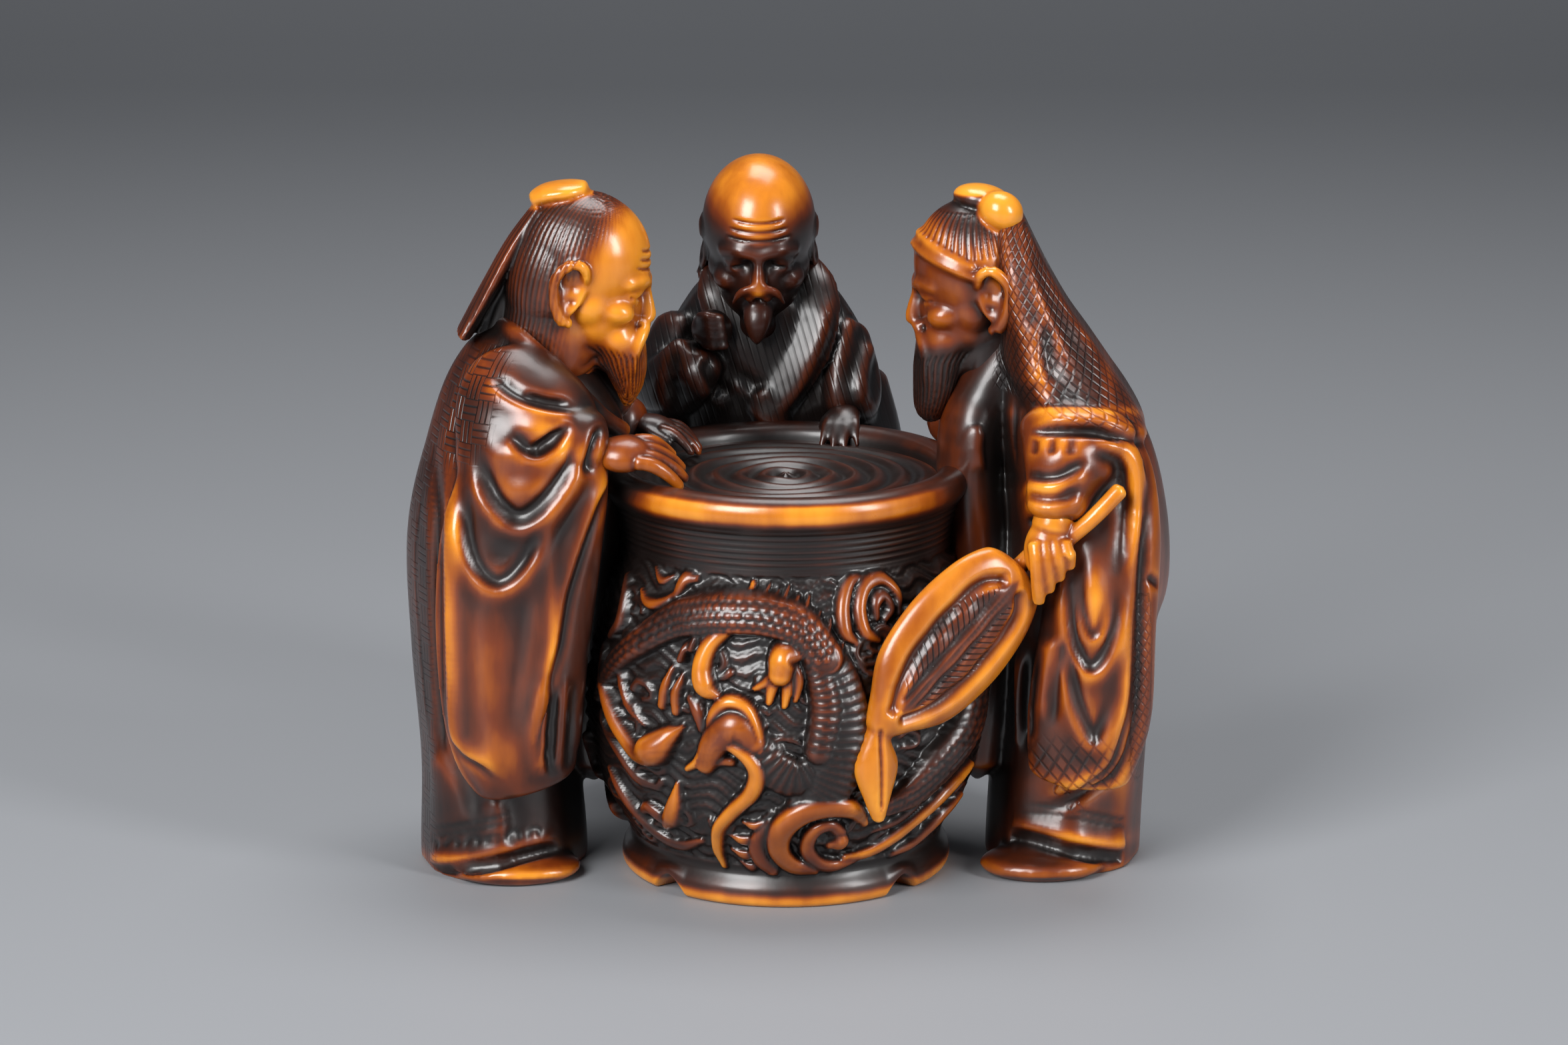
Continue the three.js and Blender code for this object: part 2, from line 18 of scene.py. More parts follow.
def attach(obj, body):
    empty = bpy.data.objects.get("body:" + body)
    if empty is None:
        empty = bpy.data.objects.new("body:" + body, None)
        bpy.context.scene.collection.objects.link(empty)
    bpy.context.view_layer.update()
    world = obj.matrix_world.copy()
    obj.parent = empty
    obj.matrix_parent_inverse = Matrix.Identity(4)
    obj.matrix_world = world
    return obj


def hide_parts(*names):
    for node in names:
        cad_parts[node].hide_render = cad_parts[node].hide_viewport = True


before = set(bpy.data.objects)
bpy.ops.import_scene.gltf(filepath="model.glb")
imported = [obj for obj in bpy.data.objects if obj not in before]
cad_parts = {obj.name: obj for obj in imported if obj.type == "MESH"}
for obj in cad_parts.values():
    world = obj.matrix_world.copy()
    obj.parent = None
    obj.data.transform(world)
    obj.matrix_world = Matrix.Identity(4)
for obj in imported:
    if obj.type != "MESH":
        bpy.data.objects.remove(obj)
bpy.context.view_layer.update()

MM = 0.001
print("solids to dress:", len(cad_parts))

# %% [markdown]
# ## The studio
# A glossy thing this small shows its lights more than its own surface. A watchmaker's
# bench has the answer: look from a hand's breadth away, put a pale card behind, and hang large
# soft lights. A flat floor and a wall would meet in a line behind the carving, so the card is one
# grid whose far rows are lifted into a curve.

# %% Camera
def placed(name, data):
    """A new object in the scene that holds a mesh, a lamp or a lens."""
    made = bpy.data.objects.new(name, data)
    bpy.context.collection.objects.link(made)
    return made


# Where the eye looks, how far it stands above the level, and its distance in mm
AIM = Vector((-0.1, 0, 18.9)) * MM
EYE_HEIGHT = math.radians(14)
EYE_DISTANCE = 235

lens = bpy.data.cameras.new("macro_lens")
lens.lens, lens.sensor_width = 100, 36
lens.clip_start, lens.clip_end = 0.01, 10
camera = placed("camera", lens)
back = Vector((0, -math.cos(EYE_HEIGHT), math.sin(EYE_HEIGHT)))
camera.location = AIM + back * EYE_DISTANCE * MM
camera.rotation_euler = (-back).to_track_quat("-Z", "Y").to_euler()
bpy.context.scene.camera = camera
bpy.context.scene.view_settings.view_transform = "Standard"
print("camera at, mm:", [round(c / MM, 1) for c in camera.location])

# %% Colours
def ink(code):
    """An sRGB hex colour as the linear colour that a shader takes."""
    parts = [int(code[i:i + 2], 16) / 255 for i in (1, 3, 5)]
    return [p / 12.92 if p <= 0.04045 else ((p + 0.055) / 1.055) ** 2.4 for p in parts] + [1.0]


def add_node(tree, kind, links=(), **settings):
    """Adds a shader node, sets its properties, and sets or links its sockets. A node that is
    given as a value stands for its first output."""
    made = tree.nodes.new(kind)
    for key, value in settings.items():
        setattr(made, key, value)
    for socket, value in dict(links).items():
        if isinstance(value, bpy.types.Node):
            value = value.outputs[0]
        if isinstance(value, bpy.types.NodeSocket):
            tree.links.new(value, made.inputs[socket])
        else:
            made.inputs[socket].default_value = value
    return made


print("white in linear light:", ink("#FFFFFF"))

# %% The card under and behind the carving
def as_mesh(lump, name):
    """Ends a bmesh, and gives its shape as a mesh."""
    mesh = bpy.data.meshes.new(name)
    lump.to_mesh(mesh)
    lump.free()
    return mesh


# Half the card's width, how far behind the carving it starts to curve, and its rise, in metres
HALF_CARD, CURVE_FROM, CARD_RISE = 0.8, 0.30, 0.75
card = bmesh.new()
bmesh.ops.create_grid(card, x_segments=2, y_segments=60, size=HALF_CARD)
for vert in card.verts:
    past = max(vert.co.y - CURVE_FROM, 0) / (HALF_CARD - CURVE_FROM)
    vert.co.z = CARD_RISE * past ** 2
card_mesh = as_mesh(card, "card")
card_mesh.shade_smooth()
# Coated grey card, rolled and matte: it shows no gloss, only a soft pool of light
card_paint = bpy.data.materials.new("matte_grey_card")
card_paint.use_nodes = True
paint = card_paint.node_tree.nodes["Principled BSDF"].inputs
paint["Base Color"].default_value = ink("#8E9094")
paint["Roughness"].default_value = 0.55
card_mesh.materials.append(card_paint)
floor = placed("card", card_mesh)
print("card:", 2 * HALF_CARD, "m wide, lifted", CARD_RISE, "m at the back")

# %% Soft boxes and the room's own light
def soft_box(name, place, size, power, aim=(0, 0, 18)):
    """A white rectangular light at a place in mm, turned to a point in mm, with its watts."""
    lamp = bpy.data.lights.new(name, "AREA")
    lamp.shape, lamp.size, lamp.size_y = "RECTANGLE", size[0] * MM, size[1] * MM
    lamp.energy = power
    box = placed(name, lamp)
    box.location = Vector(place) * MM
    box.rotation_euler = (Vector(aim) - Vector(place)).to_track_quat("-Z", "Y").to_euler()


soft_box("key", (-130, -200, 170), (120, 160), 1.02)
soft_box("fill", (190, -150, 120), (50, 130), 0.42)
soft_box("top", (20, 60, 260), (160, 120), 0.4)
room = bpy.data.worlds.new("room")
room.use_nodes = True
glow = room.node_tree.nodes["Background"].inputs
glow["Color"].default_value = ink("#9EA3AC")
glow["Strength"].default_value = 0.23
bpy.context.scene.world = room

# %% [markdown]
# ## Working like a carver
# The real tools are a saw, chisels, gravers and a polishing cloth. Here a mass is a `ball` or a
# `limb`, a sphere warped along a curve, and `kneaded` welds any number of them into one skin with
# the voxel Remesh modifier. Cloth folds and hair could be drawn as separate tubes, but they are
# lines cut into a skin on the real thing, so `carve` pushes the skin in and out along a drawn line.
# All of this is done in millimetres. The last step turns a mesh into metres.

# %% Smooth curves and places
def along(stations, t):
    """Rows of a smooth curve through rows of numbers, at places t from 0 to 1."""
    rows = np.asarray(stations, float)
    rows = np.vstack([2 * rows[0] - rows[1], rows, 2 * rows[-1] - rows[-2]])
    at = np.clip(t, 0, 1) * (len(rows) - 3)
    i = np.minimum(at.astype(int), len(rows) - 4)
    f = (at - i)[:, None]
    a, b, c, d = rows[i], rows[i + 1], rows[i + 2], rows[i + 3]
    return 0.5 * (2 * b + (c - a) * f + (2 * a - 5 * b + 4 * c - d) * f**2
                  + (3 * b - a - 3 * c + d) * f**3)


def unit(rows):
    """Each row brought to length one."""
    return rows / np.maximum(np.linalg.norm(rows, axis=1, keepdims=True), 1e-9)


def pose(centre, heading=0, nod=0, roll=0):
    """Where a head or a hand goes: its own +X looks along the heading, and nods downward."""
    return (Matrix.Translation(Vector(centre)) @ Matrix.Rotation(math.radians(heading), 4, "Z")
            @ Matrix.Rotation(math.radians(nod), 4, "Y") @ Matrix.Rotation(math.radians(roll), 4, "X"))


HERE = Matrix()
ORIGIN = (0, 0, 0)
print("halfway round a bend:", along([(0, 0), (1, 0), (1, 1)], np.array([0.5])))

# %% Masses
def ball(lump, centre, radii, turn=(0, 0, 0), at=HERE, foot=ORIGIN):
    """An egg-shaped mass. Its centre is measured from the foot."""
    centre = Vector([c + f for c, f in zip(centre, foot)])
    turned = Euler([math.radians(a) for a in turn])
    place = at @ Matrix.LocRotScale(centre, turned, Vector(radii))
    bmesh.ops.create_icosphere(lump, subdivisions=4, radius=1, matrix=place)


def limb(lump, stations, across=(1, 0, 0), sides=32, rows=28, relief=None, at=HERE, level=False,
         foot=ORIGIN):
    """A mass along a curve, with rounded ends. Each station is x, y, z from the foot, and the half
    sizes across and through. A level limb is built of flat slices, like floor plans."""
    stations = np.asarray([list(s) + [s[3]] if len(s) == 4 else s for s in stations], float)
    stations[:, :3] += foot
    verts = bmesh.ops.create_uvsphere(lump, u_segments=sides, v_segments=rows + 2, radius=1)["verts"]
    ball_skin = np.array([v.co for v in verts])
    ring = np.rint(np.arccos(np.clip(ball_skin[:, 2], -1, 1)) / np.pi * (rows + 2))
    even = np.clip((ring - 1) / rows, 0, 1)
    angle = np.arctan2(ball_skin[:, 1], ball_skin[:, 0])
    spine = along(stations[:, :3], even)
    forward = unit(along(stations[:, :3], even + 0.004) - along(stations[:, :3], even - 0.004))
    if level:
        forward[:] = (0, 0, -1)
    across = np.asarray(across, float)
    wide = unit(across - forward * (forward @ across)[:, None])
    deep = np.cross(forward, wide)
    half = np.maximum(along(stations[:, 3:5], even), 0.04)
    marks = np.linspace(0, 1, 200)
    steps = np.linalg.norm(np.diff(along(stations[:, :3], marks), axis=0), axis=1)
    run = np.interp(even, marks, np.concatenate([[0], np.cumsum(steps)]))
    to_end = np.minimum(run, steps.sum() - run) / np.minimum(0.6 * half.min(1), steps.sum() / 3)
    size = np.sqrt(1 - 0.98 * (1 - np.clip(to_end, 0, 1)) ** 2)
    if relief:
        size *= relief(angle, even)
    size = np.where((ring == 0) | (ring == rows + 2), 0, size)
    skin = (spine + wide * (half[:, 0] * size * np.cos(angle))[:, None]
            + deep * (half[:, 1] * size * np.sin(angle))[:, None])
    for vert, place in zip(verts, skin):
        vert.co = at @ Vector(place)


def flutes(count, depth, phase=0.0):
    """Cloth that hangs in even folds round a limb."""
    return lambda angle, even: 1 + depth * np.cos(count * angle + phase)


def cut_off(lump, point=ORIGIN, away=(0, 0, -1)):
    """Cuts off what lies past a plane, and closes the cut. Plain, it stands a robe on the ground."""
    bmesh.ops.bisect_plane(lump, geom=lump.verts[:] + lump.edges[:] + lump.faces[:], plane_co=point,
                           plane_no=away, clear_outer=True)
    bmesh.ops.holes_fill(lump, edges=[e for e in lump.edges if e.is_boundary])


print("ways to make a mass:", [tool.__name__ for tool in (ball, limb)])

# %% Skins
def places(mesh):
    """Every vertex of a mesh, in mm."""
    flat = np.empty(3 * len(mesh.vertices), np.float32)
    mesh.vertices.foreach_get("co", flat)
    return flat.reshape(-1, 3).astype(float)


def normals(mesh):
    """Every vertex's normal."""
    flat = np.empty(3 * len(mesh.vertices), np.float32)
    mesh.vertex_normals.foreach_get("vector", flat)
    return flat.reshape(-1, 3).astype(float)


def move(mesh, skin):
    """Puts every vertex at a new place."""
    mesh.vertices.foreach_set("co", np.ascontiguousarray(skin, np.float32).ravel())
    mesh.update()


def neighbours_mean(mesh):
    """A function that averages any rows of numbers over each vertex's neighbours."""
    count = len(mesh.vertices)
    flat = np.empty(2 * len(mesh.edges), np.int32)
    mesh.edges.foreach_get("vertices", flat)
    a, b = flat.reshape(-1, 2).T
    degree = np.maximum(np.bincount(a, minlength=count) + np.bincount(b, minlength=count), 1)

    def mean(rows):
        columns = [np.bincount(a, rows[b, k], count) + np.bincount(b, rows[a, k], count)
                   for k in range(rows.shape[1])]
        return np.stack(columns, 1) / degree[:, None]

    return mean


def relax(mesh, times, strength=0.5, where=None):
    """Smooths a skin as a polishing cloth does."""
    mean = neighbours_mean(mesh)
    skin = places(mesh)
    share = strength if where is None else (strength * where)[:, None]
    for _ in range(times):
        skin += share * (mean(skin) - skin)
    move(mesh, skin)


def kneaded(lump, voxel, times=2):
    """Welds the masses of a lump into one closed skin, and smooths it."""
    rough = as_mesh(lump, "rough")
    body = placed("rough", rough)
    weld = body.modifiers.new("weld", "REMESH")
    weld.mode, weld.voxel_size, weld.use_smooth_shade = "VOXEL", voxel, True
    seen = body.evaluated_get(bpy.context.evaluated_depsgraph_get())
    mesh = bpy.data.meshes.new_from_object(seen)
    bpy.data.objects.remove(body)
    bpy.data.meshes.remove(rough)
    relax(mesh, times)
    return mesh


def own(skin, at):
    """Points in the frame of a head or a fan."""
    flip = np.array(at.inverted())
    return skin @ flip[:3, :3].T + flip[:3, 3]


def soft_step(values, low, high):
    """0 below low, 1 above high and a smooth rise between."""
    t = np.clip((values - low) / (high - low), 0, 1)
    return t * t * (3 - 2 * t)


print("soft step at a quarter of its width:", round(float(soft_step(0.25, 0, 1)), 3))

# %% Lines
def drawn(skin, depth):
    """Where points appear on a sheet held upright at a depth y, seen from in front and above."""
    behind = skin[:, 1] - depth
    across = skin[:, 0] / (1 + behind / EYE_DISTANCE)
    return np.stack([across, np.zeros(len(skin)), skin[:, 2] + behind * math.tan(EYE_HEIGHT)], 1)


def beside(points, facing, line):
    """Each point's distance to a line, positive on its left, and the place along it, 0 to 1."""
    dense = along(line, np.linspace(0, 1, 14 * len(line)))
    step = unit(np.gradient(dense, axis=0))
    far = np.full(len(points), np.inf)
    which = np.zeros(len(points), int)
    for i, sample in enumerate(dense):
        gap = ((points - sample) ** 2).sum(1)
        closer = gap < far
        far[closer], which[closer] = gap[closer], i
    offset = points - dense[which]
    side = np.sign((np.cross(step[which], offset) * facing).sum(1))
    return np.sqrt(far) * np.where(side == 0, 1, side), which / (len(dense) - 1)


def stroke(mesh, line, reach, profile, sheet=None, turned=None, ends=0.12):
    """Pushes the skin by a profile of the distance to a line. A line of (x, z) is drawn on a sheet
    held upright at depth y, and a line of (x, y, z) lies on the skin."""
    skin, out = places(mesh), normals(mesh)
    if sheet is not None:
        line = [(p[0], 0, p[1]) for p in line]
        points = drawn(skin, sheet)
        front = np.clip((-out[:, 1] + 0.25 * out[:, 2] - 0.12) * 2.8, 0, 1)
        front *= skin[:, 1] < sheet + 4.8
    else:
        line = [tuple(turned @ Vector(p)) for p in line] if turned else line
        points, front = skin, np.ones(len(skin))
    rows = np.asarray(line, float)
    near = ((points > rows.min(0) - reach) & (points < rows.max(0) + reach)).all(1) & (front > 0)
    if not near.any():
        return
    facing = np.array([0, -1, 0]) if sheet is not None else out[near]
    side, share = beside(points[near], facing, rows)
    fade = soft_step(np.minimum(share, 1 - share), 0, ends)
    skin[near] += out[near] * (profile(side) * fade * front[near])[:, None]
    move(mesh, skin)


def carve(mesh, line, width, depth, **where):
    """Cuts a groove, or with a depth below 0 raises a ridge."""
    stroke(mesh, line, 3 * width, lambda side: -depth * np.exp(-((side / width) ** 2)), **where)


def fold(mesh, line, width, height, **where):
    """Raises a fold of cloth: it slopes away on one side and is undercut on the other, which is
    the left side of the line, or the right side for a height below 0."""
    def profile(side):
        side = side * np.sign(height) / width
        crest = np.exp(-((side / np.where(side < 0, 2.3, 0.75)) ** 2))
        return abs(height) * (crest - 0.75 * np.exp(-(((side - 1.75) / 0.95) ** 2)))

    stroke(mesh, line, 5 * width, profile, **where)


def cut_all(tool, mesh, table, **where):
    """Uses one tool, carve or fold, along each line of a table: path, width, height or depth."""
    for line, width, height in table:
        tool(mesh, line, width, height, **where)


print("tools that follow a line:", [tool.__name__ for tool in (carve, fold)])

# %% Swellings, thumb marks and hanging folds
def swell(mesh, table, sheet):
    """Broad swellings (above 0) and hollows: x, z, half width, half height, turn, height in mm."""
    skin, out = places(mesh), normals(mesh)
    points = drawn(skin, sheet)
    front = np.clip(-out[:, 1] * 2.5, 0, 1) * (skin[:, 1] < sheet + 5)
    for x, z, wide, high, turn, height in table:
        dx, dz = points[:, 0] - x, points[:, 2] - z
        c, s = math.cos(math.radians(turn)), math.sin(math.radians(turn))
        gap = ((dx * c + dz * s) / wide) ** 2 + ((dz * c - dx * s) / high) ** 2
        skin += out * (height * np.exp(-gap) * front)[:, None]
    move(mesh, skin)


def press(mesh, centre, radius, depth, at=HERE):
    """Presses a thumb into the skin, or with a negative depth pulls a swelling out of it."""
    skin, out = places(mesh), normals(mesh)
    gap = np.linalg.norm(skin - np.array(at @ Vector(centre)), axis=1) / radius
    move(mesh, skin - out * (depth * np.exp(-gap**2))[:, None])


# In mm: where the back's folds start, and half the length of a sash
SHOULDER, HALF_SASH = 27, 4.7


def hang(mesh, middle, folds, depth, sash=()):
    """Long folds that hang down the back of a robe, pulled in at the edges of a sash."""
    skin, out = places(mesh), normals(mesh)
    back = np.clip(2.5 * out[:, 1] - 0.2, 0, 1)
    around = np.arctan2(skin[:, 1] - middle[1], skin[:, 0] - middle[0])
    pleat = np.cos(folds * around + 0.7 * np.sin(0.3 * skin[:, 2]))
    pleat *= soft_step(SHOULDER - skin[:, 2], 0, 6)
    for level in sash:
        tied = np.exp(-(((skin[:, 2] - level) / 0.25) ** 2))
        tied *= soft_step(HALF_SASH - np.abs(skin[:, 0] - middle[0]), 0, 0.5)
        pleat = pleat * (1 - tied) - 0.8 * tied
    move(mesh, skin + out * (1, 1, 0) * (depth * pleat * back)[:, None])


print("back folds end under the shoulder,", SHOULDER, "mm up")

# %% [markdown]
# ## The jar
# The vinegar jar is turned work on the real thing: a profile spun round an axis, which is just
# what the spin operator does. Its wall is then cut back round a dragon among clouds. That relief
# is nowhere undercut, so each strand of it is a height above the wall, drawn in degrees to the
# right of the front and mm above the ground. Columns are gathered at the front, which is seen.

# %% The turned body
JAR_WALL = [(8.7, 0), (8.95, 0.3), (8.9, 1.0), (8.5, 1.75), (8.7, 2.4), (9.5, 3.8), (10.3, 5.4),
            (11.05, 8.6), (11.05, 10.4), (10.65, 13.8), (9.8, 16.6), (9.15, 18.1), (9.1, 18.9),
            (9.35, 20.3), (9.75, 20.95), (9.95, 21.5), (9.8, 22.1), (9.3, 22.45), (8.7, 22.4),
            (8.25, 22.0), (8.1, 21.2)]
WALL_STEP = 0.108
COLUMNS = 396


def even_steps(line, step):
    """A smooth profile cut into even steps."""
    fine = along(line, np.linspace(0, 1, 3000))
    length = np.concatenate([[0], np.cumsum(np.linalg.norm(np.diff(fine, axis=0), axis=1))])
    marks = np.linspace(0, length[-1], int(length[-1] / step))
    return np.stack([np.interp(marks, length, fine[:, k]) for k in range(2)], 1)


def turned_on_lathe(profile, columns):
    """Spins a closed profile of (radius, height) whose ends lie on the axis."""
    lump = bmesh.new()
    chain = [lump.verts.new((r, 0, z)) for r, z in profile]
    edges = [lump.edges.new(pair) for pair in zip(chain, chain[1:])]
    bmesh.ops.spin(lump, geom=chain + edges, cent=(0, 0, 0), axis=(0, 0, 1), angle=2 * math.pi,
                   steps=columns, use_merge=True)
    bmesh.ops.remove_doubles(lump, verts=lump.verts, dist=1e-4)
    bmesh.ops.recalc_face_normals(lump, faces=lump.faces)
    return as_mesh(lump, "turned")


JAR_BASE = [(0, 0), (3, 0), (5.5, 0), (7.2, 0), (8.2, 0)]
JAR_SEAT = [(7.4, 20.6), (4, 20.6), (0, 20.6)]
wall = [tuple(p) for p in even_steps(JAR_WALL, WALL_STEP)]
jar = turned_on_lathe(JAR_BASE + wall + JAR_SEAT, COLUMNS)
print("jar:", len(jar.vertices), "vertices")

# %% [markdown]
# The dragon winds through clouds. Its body carries scales, and its whiskers, claws and mane are
# polished back to amber. Such a relief could be modelled strand by strand and welded on, but on
# the real jar it is the wall itself that was cut back, so here every point of the wall is pushed
# out by the tallest strand over it. A strand's cross-section is half an ellipse, so its edges drop
# straight into the ground as a graver leaves them. The ground is rippled and stays dark.

# %% The strands of the relief
DRAGON = [(-64, 10.6, 0.4), (-58, 12.3, 0.6), (-49, 13.9, 0.8), (-35, 15.7, 1.0), (-27, 16.2, 1.15),
          (-18, 16.5, 1.2)]
BACK = [(-26, 16.3, 1.0), (-18, 16.5, 1.15), (-6, 16.5, 1.15), (4, 15.9, 1.15), (10.5, 14.4, 1.1)]
LOOP = [(6, 15.4, 1.0), (12.5, 13.4, 1.35), (15.5, 11.0, 1.5), (14.5, 8.6, 1.5), (10, 6.8, 1.3),
        (4, 6.2, 0.8)]
NECK = [(9, 8.4, 0.8), (3, 7.9, 1.1), (-3, 8.4, 1.1), (-9, 9.6, 0.9)]
TAIL = [(74, 13.4, 0.7), (66, 11.4, 1.1), (57, 9.2, 1.35), (47, 7.6, 1.3), (38, 6.3, 1.0),
        (31, 5.7, 0.6)]
# Each strand: points of (degrees, height, radius), how tall, how much it is polished, how it is cut
STRANDS = [
    (DRAGON, 0.8, 0.12, "scales"),
    (BACK, 0.9, 0.42, "scales"),
    (LOOP, 0.5, 0.08, "rings"),
    (NECK, 0.55, 0.06, "rings"),
    (TAIL, 0.7, 0.1, "scales"),
    ([(5, 14.9, 0.5), (9.5, 13.4, 0.8), (11, 11.6, 0.9), (9, 9.4, 0.8)], 1.1, 0.2, "rings"),
    ([(3, 14.7, 0.55), (-0.5, 14.5, 0.8), (-1.5, 13.6, 0.7)], 1.6, 0.95, ""),
    ([(-1.5, 13.9, 0.42), (-4.5, 13.2, 0.33), (-8.5, 12.7, 0.16)], 1.5, 0.85, ""),
    ([(-1.5, 13.8, 0.42), (-3.6, 12.9, 0.36), (-4.6, 12.0, 0.2)], 1.5, 0.95, ""),
    ([(0, 13.9, 0.42), (0.4, 12.8, 0.36), (-0.4, 11.8, 0.18)], 1.5, 0.95, ""),
    ([(1.5, 14.2, 0.4), (3.4, 13.2, 0.34), (2.6, 12.1, 0.16)], 1.4, 0.85, ""),
    ([(-10.5, 17.9, 0.2), (-12, 16.6, 0.45), (-17, 15.8, 0.5), (-21.5, 14.9, 0.55),
      (-23.3, 13.7, 0.6), (-22, 12.7, 0.62), (-18.8, 12.2, 0.3)], 1.55, 0.95, ""),
    ([(-64, 13.4, 0.2), (-61, 11.6, 0.35), (-55, 10.3, 0.5), (-48, 9.1, 0.55), (-42.5, 8.5, 0.7),
      (-37.5, 8.9, 0.95), (-32.5, 9.8, 0.6), (-29, 10.3, 0.15)], 1.35, 0.75, ""),
    ([(-54, 14.6, 0.15), (-53.5, 12.6, 0.28), (-49, 10.9, 0.3), (-42, 10.0, 0.15)], 0.9, 0.5, ""),
    ([(-60, 8.8, 0.2), (-54, 8.0, 0.35), (-47, 6.8, 0.4), (-40, 6.6, 0.2)], 0.8, 0.2, ""),
    ([(-33.5, 13.3, 0.15), (-35, 12.3, 0.34), (-35.8, 11.3, 0.3)], 1.1, 0.75, ""),
    ([(-29.8, 13.0, 0.15), (-31.4, 12.1, 0.34), (-31.2, 11.1, 0.3)], 1.1, 0.6, ""),
    ([(-27, 11.9, 0.25), (-24.5, 11.3, 0.4), (-23, 10.4, 0.3)], 1.0, 0.35, ""),
    ([(-22, 8.5, 0.6), (-18.5, 9.9, 0.85), (-13.5, 10.7, 1.0), (-8.5, 9.9, 0.7)], 1.1, 0.6, ""),
    ([(-20.5, 9.9, 0.25), (-19.4, 11.2, 0.4), (-15.5, 12.0, 0.45), (-10.5, 11.7, 0.42),
      (-7.6, 10.4, 0.4), (-6.6, 9.0, 0.3), (-6, 8.2, 0.12)], 1.7, 0.8, ""),
    ([(-16.2, 10.7, 0.2), (-13.6, 11.25, 0.3), (-11.2, 10.7, 0.2)], 2.2, 0.75, ""),
    ([(-28, 8.0, 0.18), (-24, 8.6, 0.32), (-20.5, 9.6, 0.4), (-15.5, 9.85, 0.46), (-10.2, 9.2, 0.5),
      (-7.6, 8.2, 0.52), (-9.6, 7.0, 0.5), (-15, 5.9, 0.45), (-20, 4.7, 0.42), (-22.2, 3.3, 0.38),
      (-21.8, 2.2, 0.25)], 1.7, 0.9, ""),
    ([(-22, 8.0, 0.2), (-18.5, 8.7, 0.32), (-14.6, 8.7, 0.25)], 1.2, 0.55, ""),
    ([(-40, 4.2, 0.3), (-36, 4.9, 0.55), (-33.2, 6.0, 0.45), (-32, 7.0, 0.15)], 1.2, 0.8, ""),
    ([(-50, 4.6, 0.2), (-44.5, 5.1, 0.45), (-38.5, 4.6, 0.5), (-33, 4.9, 0.3)], 0.9, 0.45, ""),
    ([(-62, 6.6, 0.2), (-56, 5.4, 0.5), (-48, 3.6, 0.5), (-38, 3.0, 0.4),
      (-28, 3.6, 0.2)], 0.9, 0.3, ""),
    ([(-12.5, 5.2, 0.12), (-9, 5.0, 0.3), (-4.5, 5.4, 0.12)], 1.2, 0.7, ""),
    ([(-17.5, 4.3, 0.12), (-13, 4.0, 0.34), (-7.5, 4.3, 0.14)], 1.2, 0.65, ""),
    ([(-18, 3.3, 0.12), (-13.5, 3.0, 0.34), (-8.8, 3.3, 0.14)], 1.1, 0.45, ""),
    ([(-15.5, 2.5, 0.12), (-12, 2.2, 0.28), (-8.8, 2.5, 0.14)], 1.0, 0.35, ""),
    ([(-4.5, 2.1, 0.45), (-8.4, 2.9, 0.6), (-8.6, 4.0, 0.55), (-4.5, 5.2, 0.35)], 1.1, 0.5, ""),
    ([(10, 2.15, 0.4), (2, 2.5, 0.6), (-2.2, 3.5, 0.72), (-1.2, 4.9, 0.78), (4.5, 5.9, 0.75),
      (12, 6.2, 0.7), (19, 5.9, 0.6), (24, 4.9, 0.25)], 1.25, 0.85, ""),
    ([(26, 2.7, 0.3), (17, 2.25, 0.4), (10.2, 2.6, 0.5), (6.6, 3.6, 0.5), (8.4, 4.7, 0.46),
      (13, 5.0, 0.4), (16.4, 4.5, 0.4)], 1.3, 0.55, ""),
    ([(14, 3.7, 0.3), (16.8, 3.9, 0.55), (16.2, 4.5, 0.3)], 1.5, 0.6, ""),
    ([(20, 2.7, 0.25), (28, 2.9, 0.42), (36, 3.6, 0.46), (44, 4.7, 0.46), (54, 5.9, 0.46),
      (66, 6.6, 0.3)], 1.45, 0.85, ""),
    ([(28, 4.2, 0.12), (36, 4.6, 0.26), (44, 5.7, 0.26), (52, 6.9, 0.12)], 0.9, 0.3, ""),
    ([(40, 2.3, 0.2), (48, 2.7, 0.4), (56, 3.9, 0.5), (66, 4.8, 0.3)], 1.2, 0.5, ""),
    ([(20.5, 14.9, 0.2), (17.4, 15.6, 0.45), (17.6, 16.9, 0.45), (21, 17.9, 0.35),
      (26, 18.1, 0.15)], 1.1, 0.5, ""),
    ([(27.5, 14.9, 0.2), (23.4, 15.5, 0.42), (22.6, 16.7, 0.45), (26, 17.7, 0.42), (32, 17.9, 0.4),
      (36.4, 17.1, 0.35), (36, 16.1, 0.2)], 1.2, 0.55, ""),
    ([(28, 16.0, 0.2), (28.4, 16.8, 0.36), (31.4, 17.1, 0.36), (33.4, 16.4, 0.3),
      (31, 15.9, 0.2)], 1.1, 0.35, ""),
    ([(-51, 16.8, 0.15), (-46, 16.3, 0.3), (-40, 16.5, 0.3), (-35.5, 17.2, 0.15)], 1.2, 0.6, ""),
    ([(-48, 18.0, 0.12), (-43.5, 17.5, 0.22), (-39, 17.8, 0.12)], 1.0, 0.45, ""),
    ([(-61, 17.2, 0.2), (-57, 16.2, 0.42), (-56.4, 15.0, 0.42), (-60, 14.1, 0.3)], 1.1, 0.4, ""),
    ([(-36, 17.0, 0.3), (-34, 17.8, 0.42), (-30, 17.9, 0.2)], 1.0, 0.5, ""),
]
print("strands drawn one by one:", len(STRANDS))

